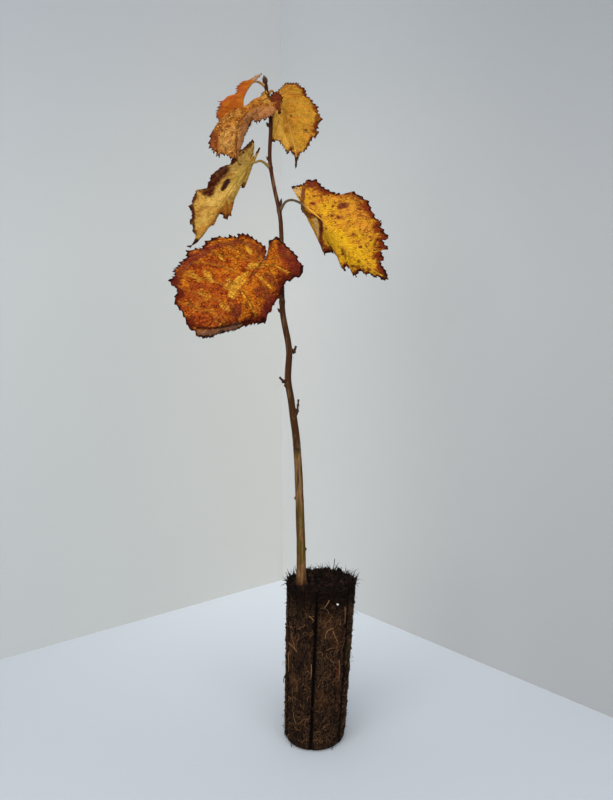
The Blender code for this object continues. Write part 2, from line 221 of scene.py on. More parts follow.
def blend(tree, factor, first, second, how="MIX"):
    mixed = place(tree, "Mix", {0: factor, 6: first, 7: second}, data_type="RGBA", blend_type=how)
    return Signal(mixed.outputs[2])


def rise(tree, value, low, high, start=0.0, end=1.0):
    # eased step from start to end as the value goes from low to high
    made = place(tree, "MapRange", {0: value, 1: low, 2: high, 3: start, 4: end})
    made.interpolation_type = "SMOOTHSTEP"
    return Signal(made.outputs[0])


def attribute(tree, name):
    return Signal(place(tree, "Attribute", attribute_name=name).outputs["Fac"])


def mottle(tree, scale, detail=3.0, roughness=0.55, stretch=None, seed=0.0):
    # noise on object coordinates, from 0 to 1
    spot = place(tree, "TexCoord").outputs["Object"]
    spot = place(tree, "Mapping", {"Vector": spot, "Location": (seed, seed * 0.7, seed * 1.3),
                                   "Scale": stretch or (1, 1, 1)}).outputs[0]
    noise = place(tree, "TexNoise", {"Vector": spot, "Scale": scale, "Detail": detail,
                                     "Roughness": roughness})
    return Signal(noise.outputs[0])


def newGroup(name, inputs, outputs):
    # an empty node group with its sockets; inputs hold their usual values
    tree = bpy.data.node_groups.new(name, "ShaderNodeTree")
    for label, value in inputs.items():
        kind = "NodeSocketColor" if isinstance(value, tuple) else "NodeSocketFloat"
        socket = tree.interface.new_socket(label, in_out="INPUT", socket_type=kind)
        socket.default_value = value
    for label, kind in outputs.items():
        tree.interface.new_socket(label, in_out="OUTPUT", socket_type="NodeSocket" + kind)
    given = tree.nodes.new("NodeGroupInput").outputs
    given = {label: Signal(given[label]) for label in inputs}
    return tree, given, tree.nodes.new("NodeGroupOutput").inputs


def newMaterial(name, group, values, bump=0.0005, **shaderValues):
    # one material: the group's colour, roughness and height on a Principled shader
    made = bpy.data.materials.new(name)
    made.use_nodes = True
    tree = made.node_tree
    shader = tree.nodes["Principled BSDF"]
    pattern = place(tree, "Group", node_tree=group)
    for label, value in values.items():
        pattern.inputs[label].default_value = value
    tree.links.new(pattern.outputs["Color"], shader.inputs["Base Color"])
    tree.links.new(pattern.outputs["Roughness"], shader.inputs["Roughness"])
    relief = place(tree, "Bump", {"Height": pattern.outputs["Height"], "Distance": bump, "Strength": 1.0})
    tree.links.new(relief.outputs[0], shader.inputs["Normal"])
    for label, value in shaderValues.items():
        shader.inputs[label.replace("_", " ")].default_value = value
    return made


def bladeGroup():
    # an autumn blade: tissue that fades from its warm to its face colour, brown towards the margin, with side
    # veins, a ladder of small veins between them, blotches and dots, and painted shade and highlight for its
    # relief
    tree, given, out = newGroup("autumnBlade", {
        "Face": paint(215, 160, 40), "Warm": paint(190, 110, 30), "Pale": paint(235, 205, 95),
        "Vein": paint(225, 190, 80), "Margin": paint(130, 65, 25), "Edge": paint(45, 20, 15),
        "Blush": paint(110, 35, 25), "Green": paint(110, 110, 45), "Rose": paint(200, 130, 95),
        "Vein Strength": 0.6, "Margin Reach": 0.004, "Dots": 0.5, "Mosaic": 0.7, "Cells": 430.0,
        "Flank Shading": 0.4,
    }, {"Color": "Color", "Roughness": "Float", "Height": "Float"})
    across, outward, margin = (attribute(tree, name) for name in ("across", "outward", "margin"))
    broad = mottle(tree, 75, 3)
    fine = mottle(tree, 420, 4, 0.6, seed=0.3)

    # distance to the nearest side vein, in metres
    phase = calc("FRACT", attribute(tree, "veinPhase") + 0.5)
    pastVein = (phase - 0.5) * attribute(tree, "veinGap")
    offVein = calc("ABSOLUTE", pastVein)
    width = rise(tree, across, 0.0, 1.0, 0.00030, 0.00014)
    veins = calc("SUBTRACT", 1.0, offVein / width, clamp=True)
    midrib = rise(tree, outward, 0.0002, 0.0006, 0.75, 0.0)
    veins = calc("MAXIMUM", veins, midrib)
    nearVein = rise(tree, offVein, 0.0, 0.0022, 1.0, 0.0)

    # small veins bound cells of tissue, which fade one by one
    spot = place(tree, "TexCoord").outputs["Object"]
    drift = place(tree, "TexNoise", {"Vector": spot, "Scale": 380.0, "Detail": 3.0}).outputs[1]
    bent = place(tree, "VectorMath", {0: drift, 1: (0.0016, 0.0016, 0.0016), 2: spot},
                 operation="MULTIPLY_ADD").outputs[0]
    bent = place(tree, "Mapping", {"Vector": bent, "Rotation": (0, 0.5, 0), "Scale": (1, 1, 1.6)}).outputs[0]
    cell = place(tree, "TexVoronoi", {"Vector": bent, "Scale": given["Cells"]})
    cellEdge = place(tree, "TexVoronoi", {"Vector": bent, "Scale": given["Cells"]},
                     feature="DISTANCE_TO_EDGE").outputs[0]
    swell = rise(tree, cellEdge, 0.0, 0.24)
    cellTone = [Signal(socket) for socket in place(tree, "SeparateColor", {0: cell.outputs["Color"]}).outputs]
    small = place(tree, "TexVoronoi", {"Vector": spot, "Scale": 1500.0},
                  feature="DISTANCE_TO_EDGE").outputs[0]
    net = rise(tree, small, 0.0, 0.2, 1.0, 0.0)

    # broad patches first, then each cell a little darker or lighter, and darker along its edges: partly the
    # small veins' own colour and partly painted shade between the domed cells, with more painted shade in
    # ripples and hollows
    tone = broad + (fine - 0.5) * 0.35
    tone = tone + (cellTone[0] - 0.5) * (given["Mosaic"] * 0.22)
    tone = tone + attribute(tree, "warm") * 0.25
    color = blend(tree, rise(tree, tone, 0.40, 0.64), given["Face"], given["Warm"])
    paled = nearVein * (given["Vein Strength"] * 0.25)
    bright = rise(tree, cellTone[1], 0.45, 0.9) * given["Mosaic"]
    bright = bright * rise(tree, broad, 0.58, 0.36, 0.0, 0.3)
    patch = attribute(tree, "pale") * rise(tree, cellTone[1], 0.0, 0.4, 0.6, 1.0)
    patch = patch * rise(tree, fine, 0.38, 0.56, 0.6, 1.0)
    color = blend(tree, calc("MAXIMUM", calc("MAXIMUM", paled, bright), patch), color, given["Pale"])
    dashes = rise(tree, mottle(tree, 320, 2, seed=0.7), 0.40, 0.60, 0.15, 1.0)
    shaded = (1.0 - swell) * (given["Mosaic"] * dashes)
    shaded = calc("MAXIMUM", shaded, net * 0.3)
    rungs = calc("SINE", outward * 3600.0 + fine * 9.0)
    # painted shade of ripples: dark bands across the pale patches
    rippleShade = rise(tree, rungs, 0.1, 0.9) * (attribute(tree, "pale") * 0.45)
    shaded = calc("MAXIMUM", shaded, rippleShade)
    # painted shade in the hollows of the quilting
    sunk = attribute(tree, "sunk") * (given["Mosaic"] * rise(tree, fine, 0.3, 0.6, 0.2, 0.75))
    shaded = calc("MAXIMUM", shaded, sunk)
    shaded = shaded * rise(tree, attribute(tree, "pale"), 0.0, 1.0, 1.0, 0.85)
    color = blend(tree, shaded, color, given["Margin"], "MULTIPLY")

    # the tissue sags between the side veins, and painted light stands in for that relief: one flank of each
    # gets a painted highlight, the other painted shade
    flank = rise(tree, across, 0.02, 0.2) * rise(tree, broad, 0.35, 0.6, 0.3, 1.0)
    flank = flank * given["Flank Shading"]
    shadedFlank = rise(tree, pastVein, 0.0001, 0.0004) * rise(tree, pastVein, 0.0004, 0.0026, 1.0, 0.0)
    color = blend(tree, shadedFlank * flank, color, given["Warm"], "MULTIPLY")
    lit = rise(tree, pastVein, -0.0022, -0.0003) * rise(tree, pastVein, -0.0002, 0.0001, 1.0, 0.0)
    color = blend(tree, lit * (flank * 0.7), color, given["Pale"])

    # browning creeps in from the margin, cell by cell and further between the veins
    creep = given["Margin Reach"] * rise(tree, broad, 0.3, 0.65, 0.35, 1.9)
    creep = creep * rise(tree, nearVein, 0.0, 1.0, 1.15, 0.6)
    creep = creep * rise(tree, cellTone[0], 0.0, 1.0, 0.6, 1.5)
    browned = calc("SUBTRACT", 1.0, margin / creep, clamp=True)
    color = blend(tree, rise(tree, browned, 0.0, 0.8), color, given["Margin"])
    color = blend(tree, attribute(tree, "rose") * rise(tree, fine, 0.3, 0.6, 1.0, 0.7), color,
                  given["Rose"])
    color = blend(tree, attribute(tree, "green") * rise(tree, fine, 0.3, 0.6, 1.0, 0.7), color,
                  given["Green"])
    blush = attribute(tree, "blush") * rise(tree, cellTone[2], 0.1, 0.7, 0.85, 1.0)
    color = blend(tree, blush, color, given["Blush"])
    edge = given["Margin Reach"] * rise(tree, fine, 0.3, 0.65, 0.08, 0.4)
    edge = calc("SUBTRACT", 1.0, margin / edge, clamp=True)
    color = blend(tree, rise(tree, edge, 0.0, 0.6), color, given["Edge"])
    shown = given["Vein Strength"] * calc("SUBTRACT", 1.0, blush, clamp=True)
    color = blend(tree, veins * shown, color, given["Vein"])
    color = blend(tree, attribute(tree, "dark"), color, given["Edge"])

    # dots of decay
    dots = place(tree, "TexVoronoi", {"Vector": spot, "Scale": 420.0, "Randomness": 1.0})
    sparse = rise(tree, place(tree, "SeparateColor", {0: dots.outputs["Color"]}).outputs[0], 0.50, 0.70)
    dot = rise(tree, dots.outputs["Distance"], 0.12, 0.34, 1.0, 0.0) * sparse
    color = blend(tree, dot * given["Dots"], color, given["Edge"])

    # the underside is paler
    color = blend(tree, attribute(tree, "under") * 0.35, color, given["Rose"])
    send(color, out["Color"])
    send(rise(tree, browned + fine * 0.5, 0.2, 1.2, 0.48, 0.78), out["Roughness"])
    height = swell * given["Mosaic"]
    height = height - veins * 0.55
    height = height - net * 0.15
    height = height + rungs * 0.18
    height = height + fine * 0.5
    send(height, out["Height"])
    return tree


def barkGroup():
    # smooth young bark: its colour goes up the shoot, with fine lengthwise streaks, pale lenticels and scars.
    # Its left and right edges as seen from the front get painted shade, and thin pale streaks are painted
    # highlights
    tree, given, out = newGroup("youngBark", {
        "Low": paint(112, 80, 48), "Side": paint(78, 64, 20), "Middle": paint(56, 33, 13),
        "High": paint(62, 26, 8), "Lenticel And Highlight": paint(132, 102, 66), "Scar": paint(30, 18, 12),
        "Low End": 0.2165, "High Start": 0.275, "High End": 0.40,
    }, {"Color": "Color", "Roughness": "Float", "Height": "Float"})
    up = Signal(place(tree, "SeparateXYZ", {0: place(tree, "TexCoord").outputs["Object"]}).outputs[2])
    streaks = mottle(tree, 620, 3, 0.6, stretch=(1, 1, 0.09))
    patches = mottle(tree, 210, 3, 0.5, stretch=(1, 1, 0.22), seed=0.6)
    fine = mottle(tree, 1500, 3, 0.6)
    waver = up + (patches - 0.5) * 0.03
    side = attribute(tree, "around") * 0.06 + patches
    color = blend(tree, rise(tree, side, 0.46, 0.56), given["Low"], given["Side"])
    # painted shade: the stem's left and right edges, as seen from the front, darken towards the High colour
    red = rise(tree, calc("ABSOLUTE", attribute(tree, "around")), 0.55, 0.95, 0.0, 0.55)
    color = blend(tree, red, color, given["High"])
    color = blend(tree, rise(tree, up, 0.1205, 0.125, 0.45, 0.0), color, given["High"])
    past = given["Low End"] + 0.003
    color = blend(tree, rise(tree, up, given["Low End"], past), color, given["Middle"])
    color = blend(tree, rise(tree, waver, given["High Start"], given["High End"]), color, given["High"])
    color = blend(tree, rise(tree, streaks, 0.50, 0.62, 0.0, 0.6), color, given["High"])
    # painted highlights: thin pale lengthwise streaks
    color = blend(tree, rise(tree, streaks, 0.36, 0.48, 0.35, 0.0), color, given["Lenticel And Highlight"])
    color = blend(tree, rise(tree, patches, 0.30, 0.46, 0.65, 0.0), color, given["Scar"])
    color = blend(tree, attribute(tree, "lenticel"), color, given["Lenticel And Highlight"])
    color = blend(tree, attribute(tree, "scar"), color, given["Scar"])
    send(color, out["Color"])
    send(rise(tree, streaks, 0.2, 0.8, 0.42, 0.68), out["Roughness"])
    send(streaks + fine * 0.4, out["Height"])
    return tree


def earthGroup():
    # peat held together by roots: dark crumbs, lighter matted fibres, and stains by attribute; the dark
    # attribute is painted shade in the plug's grooves and below its rim
    tree, given, out = newGroup("rootedPeat", {
        "Deep": paint(10, 6, 5), "Crumb": paint(36, 23, 16), "Fibre": paint(104, 77, 52),
        "Tan": paint(65, 41, 23), "Red": paint(84, 30, 22), "Green": paint(38, 40, 20),
        "Fibre Share": 0.5,
    }, {"Color": "Color", "Roughness": "Float", "Height": "Float"})
    crumbs = mottle(tree, 480, 5, 0.65)
    broad = mottle(tree, 60, 3, 0.5, seed=0.4)
    spot = place(tree, "TexCoord").outputs["Object"]
    # two sets of thin bright lines, where stretched and bent noise passes its middle value
    bent = place(tree, "VectorMath", {0: place(tree, "TexNoise", {"Vector": spot, "Scale": 70.0}).outputs[1],
                                      1: (0.012, 0.012, 0.012)}, operation="MULTIPLY").outputs[0]
    bent = place(tree, "VectorMath", {0: spot, 1: bent}, operation="ADD").outputs[0]
    lines = 0.0
    for tilt, seed in ((0.55, 0.0), (-0.4, 3.0), (1.35, 7.0)):
        turned = place(tree, "Mapping", {"Vector": bent, "Rotation": (tilt, tilt * 0.6, 0),
                                         "Location": (seed, seed, 0), "Scale": (1, 1, 0.16)}).outputs[0]
        noise = place(tree, "TexNoise", {"Vector": turned, "Scale": 520.0, "Detail": 1.5})
        line = rise(tree, calc("ABSOLUTE", Signal(noise.outputs[0]) - 0.5), 0.0, 0.028, 1.0, 0.0)
        lines = calc("MAXIMUM", lines, line)
    lines = lines * rise(tree, broad, 0.35, 0.6, 0.25, 1.0)
    color = blend(tree, rise(tree, crumbs, 0.38, 0.66), given["Deep"], given["Crumb"])
    color = blend(tree, attribute(tree, "tan") * rise(tree, crumbs, 0.3, 0.65), color, given["Tan"])
    color = blend(tree, attribute(tree, "red") * rise(tree, crumbs, 0.3, 0.6), color, given["Red"])
    color = blend(tree, attribute(tree, "green") * rise(tree, crumbs, 0.3, 0.6), color, given["Green"])
    fibres = lines * given["Fibre Share"]
    # painted shade where the dark attribute is set: fibres fade out and the peat turns to its deepest colour
    color = blend(tree, fibres * (1.0 - attribute(tree, "dark")), color, given["Fibre"])
    color = blend(tree, attribute(tree, "dark"), color, given["Deep"])
    send(color, out["Color"])
    send(rise(tree, lines, 0.0, 1.0, 0.95, 0.75), out["Roughness"])
    send(crumbs + lines * 0.35, out["Height"])
    return tree


def strandGroup():
    # one thin thing among many, such as a root, a crumb or a petiole: its tone varies from strand to strand
    tree, given, out = newGroup("strand", {
        "First": paint(60, 45, 33), "Second": paint(125, 100, 74), "Tip": paint(80, 60, 40),
    }, {"Color": "Color", "Roughness": "Float", "Height": "Float"})
    fine = mottle(tree, 1300, 3, 0.6)
    color = blend(tree, attribute(tree, "tone"), given["First"], given["Second"])
    color = blend(tree, attribute(tree, "end"), color, given["Tip"])
    color = blend(tree, rise(tree, fine, 0.35, 0.75, 0.0, 0.35), color, given["First"])
    send(color, out["Color"])
    send(rise(tree, fine, 0.3, 0.7, 0.55, 0.85), out["Roughness"])
    send(fine, out["Height"])
    return tree


groups = dict(blade=bladeGroup(), bark=barkGroup(), earth=earthGroup(), strand=strandGroup())
peatLook = newMaterial("peatLook", groups["earth"], {}, bump=0.0009, Specular_IOR_Level=0.04)
crumbLook = newMaterial("crumbLook", groups["strand"], {
    "First": paint(10, 7, 6), "Second": paint(48, 32, 22), "Tip": paint(30, 22, 17)}, bump=0.0004,
    Specular_IOR_Level=0.04)
rootLook = newMaterial("rootLook", groups["strand"], {
    "First": paint(18, 11, 8), "Second": paint(164, 118, 80), "Tip": paint(80, 60, 42)}, bump=0.0001,
    Specular_IOR_Level=0.05)
darkRootLook = newMaterial("darkRootLook", groups["strand"], {
    "First": paint(10, 7, 6), "Second": paint(44, 30, 21), "Tip": paint(40, 28, 20)}, bump=0.0001,
    Specular_IOR_Level=0.05)
grainLook = newMaterial("grainLook", groups["strand"], {
    "First": paint(170, 165, 155), "Second": paint(224, 221, 212), "Tip": paint(200, 196, 188)}, bump=0.0002)
barkLook = newMaterial("barkLook", groups["bark"], {}, bump=0.00012, Specular_IOR_Level=0.08)
budLook = newMaterial("budLook", groups["strand"], {
    "First": paint(40, 22, 14), "Second": paint(80, 52, 30), "Tip": paint(104, 104, 70)}, bump=0.0001,
    Specular_IOR_Level=0.1)
deadLook = newMaterial("deadLook", groups["strand"], {
    "First": paint(34, 20, 13), "Second": paint(74, 48, 30), "Tip": paint(30, 18, 12)}, bump=0.0002,
    Specular_IOR_Level=0.1)
print("materials made")


ball = dict(
    height=0.120, topRadius=0.025, rimDrop=0.001, footRadius=0.0224, footRound=0.004, lean=0.005,
    grooves=6, firstGroove=math.radians(-98), grooveDepth=0.0024, grooveWidth=0.0010,
    columns=300, topRings=34, sideRings=190, footRings=8, underRings=12,
    crumble=0.0011, stemFoot=(-0.0095, -0.008),
    # noises of the side, as share, size and seed, and of the top, as height, size and seed
    sideNoises=[(0.35, 0.0042, 1), (0.5, 0.0019, 2), (0.45, 0.0009, 3)],
    topNoises=[(0.0009, 0.0045, 11), (0.0006, 0.0018, 12)],
    # humps and dips of the top: x, y, height, spread
    top=[(-0.003, -0.016, 0.0030, 0.006), (0.010, -0.014, -0.0010, 0.005), (0.019, -0.010, 0.0020, 0.006),
         (-0.016, -0.012, 0.0016, 0.004), (0.004, 0.012, 0.0018, 0.008), (-0.012, 0.010, -0.001, 0.005)],
    # stains of the front: which, the spot of its middle, half width, half height
    stains=[("tan", (291.8, 642), 0.004, 0.007), ("tan", (322, 699), 0.007, 0.006),
            ("tan", (294, 681), 0.005, 0.007), ("tan", (332, 630), 0.007, 0.010),
            ("red", (336.8, 672), 0.0014, 0.009), ("green", (348, 653), 0.003, 0.008)],
)


def coneRadius(z):
    # half the plug's width from the rounding of its foot up to its rim
    rim = ball["height"] - ball["rimDrop"]
    return np.interp(z, [ball["footRound"], rim], [ball["footRadius"], ball["topRadius"]])


def onPlug(spots):
    # x and z at which the camera's lines of sight meet the plug's front: the depth, y, follows from x and
    # z, and they shift a little with the depth, so both are settled in a few turns
    depth = -ball["topRadius"]
    for _ in range(8):
        x, _, z = placesAt(spots, depth).T
        off = x - ball["lean"] * z / ball["height"]
        depth = -np.sqrt(np.maximum(coneRadius(z) ** 2 - off**2, 0))
    return placesAt(spots, depth)[:, [0, 2]]


def ballRadius(angle, z):
    # the cone, minus a bell-shaped groove of depth * exp(-(distance / width)^2) at each cell rib
    radius = coneRadius(z)
    sector = 2 * np.pi / ball["grooves"]
    off = (angle - ball["firstGroove"] + sector / 2) % sector - sector / 2
    groove = np.exp(-(off * radius / ball["grooveWidth"]) ** 2)
    return radius - ball["grooveDepth"] * groove, groove


def ballPlace(angle, z, out=0.0):
    # a place on the plug's side, this far out of it
    radius = ballRadius(angle, z)[0] + out
    return np.stack([radius * np.cos(angle) + ball["lean"] * z / ball["height"],
                     radius * np.sin(angle), np.broadcast_to(z, radius.shape)], axis=-1)


def frontAngle(x, z):
    # the turn round the plug at which its front is at this x
    off = (x - ball["lean"] * z / ball["height"]) / ballRadius(np.float64(0.5), z)[0]
    return -np.arccos(np.clip(off, -1, 1))


def topHeight(x, y):
    # lumps of the top: bell-shaped humps and two sizes of noise, level round the stem
    spot = np.stack([x, y, np.zeros_like(x)], axis=-1)
    lift = sum(height * cloud(spot, size, seed) for height, size, seed in ball["topNoises"])
    for humpX, humpY, height, spread in ball["top"]:
        lift = lift + height * np.exp(-((x - humpX) ** 2 + (y - humpY) ** 2) / spread**2)
    away = np.hypot(x - ball["stemFoot"][0], y - ball["stemFoot"][1])
    return ball["height"] - 0.0004 + lift * ease(0.003, 0.009, away)


def buildBall():
    # a profile from the middle of the top, down the side, to the middle of the underside, carried round Z
    turn = np.linspace(0, 2 * np.pi, ball["columns"], endpoint=False)[None, :]
    rim = ball["height"] - ball["rimDrop"]
    share = np.linspace(0, 1, ball["topRings"])[:, None]
    radius = ballRadius(turn, np.float64(rim))[0] * share
    x = radius * np.cos(turn) + ball["lean"]
    y = radius * np.sin(turn)
    z = np.where(share < 0.97, topHeight(x, y), (topHeight(x, y) + rim) / 2)
    top = np.stack([x, y, z], axis=-1)

    z = np.linspace(rim, ball["footRound"], ball["sideRings"])[:, None]
    rough = ballPlace(turn, z)
    out = sum(share * cloud(rough, size, seed) for share, size, seed in ball["sideNoises"])
    ragged = 1 + 0.8 * ease(0.108, 0.119, z)
    side = ballPlace(turn, z, ball["crumble"] * out * ragged * ease(0.0, 0.012, z) - 0.0002)

    low = np.linspace(0, np.pi / 2, ball["footRings"] + 1)[1:, None]
    inner = ball["footRadius"] - ball["footRound"]
    groove = ballRadius(turn, np.float64(0.004))[1] * ball["grooveDepth"]
    radius = inner + ball["footRound"] * np.cos(low) - groove * np.cos(low) ** 2
    z = ball["footRound"] * (1 - np.sin(low)) + 0 * radius
    foot = np.stack([radius * np.cos(turn) + ball["lean"] * z / ball["height"], radius * np.sin(turn), z],
                    axis=-1)
    share = np.linspace(1, 0, ball["underRings"] + 1)[1:, None]
    under = np.stack([share * inner * np.cos(turn), share * inner * np.sin(turn), 0 * turn * share], axis=-1)

    points = np.concatenate([top, side, foot, under])
    stains = {name: np.zeros(points.shape[:2]) for name in ("tan", "red", "green")}
    front = ease(0.004, -0.004, points[..., 1])
    for name, spot, halfX, halfZ in ball["stains"]:
        atX, atZ = onPlug([spot])[0]
        far = np.hypot((points[..., 0] - atX) / halfX, (points[..., 2] - atZ) / halfZ)
        far = far + 0.5 * cloud(points, 0.003, 21)
        stains[name] = np.maximum(stains[name], ease(1.3, 0.5, far) * front)
    back = ease(0.0, 0.012, points[..., 1])
    stains["tan"] = np.maximum(stains["tan"], back * ease(0.35, 0.75, cloud(points, 0.014, 22)))
    stains["green"] = np.maximum(stains["green"], back * ease(0.5, 0.9, cloud(points, 0.012, 23)) * 0.7)
    # painted shade: the grooves go nearly to the deepest peat colour, and the side darkens towards the rim
    angle = np.arctan2(points[..., 1], points[..., 0] - ball["lean"] * points[..., 2] / ball["height"])
    groove = ballRadius(angle, points[..., 2])[1] * (np.hypot(points[..., 0], points[..., 1]) > 0.019)
    shaded = ease(0.098, 0.117, points[..., 2] + 0.004 * cloud(points, 0.008, 24))
    dark = np.maximum(np.sqrt(groove) * 0.97, shaded * 0.6)
    faces = gridFaces(*points.shape[:2], closed=True)
    return makePiece("rootBall", points, faces, peatLook, "peat", ["root_ball"], dark=dark, **stains)


buildBall()
print("root ball made")

mat = dict(
    fine=dict(count=2600, rings=9, length=(0.003, 0.010), radius=(0.00006, 0.00014), wander=0.7),
    thick=dict(count=110, rings=12, length=(0.007, 0.020), radius=(0.00011, 0.00020), wander=0.35),
    # roots that show on the front, as the spots they pass
    roots=[
        [(333, 628), (329, 629.5), (326, 633), (325, 638)], [(332.5, 630.7), (335, 637), (338, 644)],
        [(289.6, 642.6), (293, 646), (298, 651.7)], [(329, 600), (327, 604), (324, 608)],
        [(309, 616), (311.5, 617.5), (313.5, 620)], [(344.4, 607), (344.5, 615), (344.2, 623)],
        [(338.4, 660), (338.8, 670), (338.2, 681)], [(288.5, 650), (289.4, 660), (289.6, 671)],
        [(311.4, 664), (311.6, 671), (311, 678)],
    ],
    rootRadius=0.00024, turnRadius=0.0235,
)


def fibresOnSide(kind, seed):
    # each fibre wanders over the plug's side: its heading is a running sum of small random turns, and its
    # place is a running sum of steps along that heading, read as (turn, height) on the plug
    rng = np.random.default_rng(seed)
    count, rings = kind["count"], kind["rings"]
    length = rng.uniform(*kind["length"], (count, 1))
    heading = rng.normal(np.pi / 2, 1.1, (count, 1))
    heading = heading + np.cumsum(rng.normal(0, kind["wander"], (count, rings)), 1)
    step = length / rings
    across = rng.uniform(-np.pi, np.pi, (count, 1)) + np.cumsum(np.cos(heading) * step, 1) / mat["turnRadius"]
    up = rng.uniform(0.006, 0.114, (count, 1)) + np.cumsum(np.sin(heading) * step, 1)
    up = np.clip(up, 0.0045, 0.1185)
    radius = rng.uniform(*kind["radius"], (count, 1)) * np.linspace(1.0, 0.45, rings)
    radius = radius * ease(0.30, 0.08, ballRadius(across, up)[1])
    base = ballPlace(across, up)
    _, size, noiseSeed = ball["sideNoises"][0]
    out = 0.0005 * np.maximum(cloud(base, size, noiseSeed), -0.2) + 0.0002 + radius * 0.6
    return ballPlace(across, up, out), radius, rng


def buildMat():
    for name, seed in (("fine", 31), ("thick", 32)):
        paths, radii, rng = fibresOnSide(mat[name], seed)
        points = tubePoints(paths, radii, 4)
        shade = rng.beta(0.7, 1.9, (len(paths), 1, 1)) * (1 - 0.85 * ease(0.098, 0.116, points[..., 2]))
        faces = gridFaces(*points.shape[1:3], copies=len(paths), closed=True)
        makePiece(name + "Roots", points, faces, rootLook, "peat", tone=shade, end=0.0)
    paths, radii = [], []
    for root in mat["roots"]:
        line = smoothPath(onPlug(root), 16)
        paths.append(ballPlace(frontAngle(line[:, 0], line[:, 1]), line[:, 1], 0.0007))
        radii.append(np.full(16, mat["rootRadius"]) * np.linspace(1, 0.6, 16))
    points = tubePoints(np.array(paths), np.array(radii), 6)
    faces = gridFaces(*points.shape[1:3], copies=len(paths), closed=True)
    makePiece("paleRoots", points, faces, rootLook, "peat", tone=0.8, end=0.0)


buildMat()

scatter = dict(
    crumbs=950, crumbSize=(0.0003, 0.0011),
    spikes=150, spikeLength=(0.0015, 0.0050), spikeRadius=(0.00012, 0.00028),
    fringe=700, fringeLength=(0.0012, 0.0032), fringeRadius=(0.00008, 0.00018),
    tuft=430, tuftLength=(0.0014, 0.0056), tuftRadius=(0.00020, 0.00060),
    grains=[((337.3, 604.2), 0.0007)],  # white grains: spot and radius
    highest=0.1262, rearmost=0.0262, floorGap=0.0003,  # where fibres and crumbs stop
    strayRadius=0.00042,
    # stray fibres as points in space
    strays=[
        [(0.0142, 0.0080, 0.1190), (0.0143, 0.0080, 0.1250), (0.0151, 0.0080, 0.1335)],
        [(0.0262, -0.0100, 0.1212), (0.0285, -0.0105, 0.1240), (0.0312, -0.0108, 0.1285)],
        [(-0.0205, -0.0060, 0.0505), (-0.0222, -0.0066, 0.0490), (-0.0230, -0.0068, 0.0445)],
        [(-0.0160, -0.0150, 0.0070), (-0.0172, -0.0160, 0.0035), (-0.0168, -0.0166, 0.0006)],
        [(0.0120, -0.0180, 0.0060), (0.0128, -0.0196, 0.0030), (0.0124, -0.0200, 0.0005)],
        [(-0.0205, -0.0090, 0.0120), (-0.0218, -0.0100, 0.0090), (-0.0220, -0.0104, 0.0060)],
    ],
)


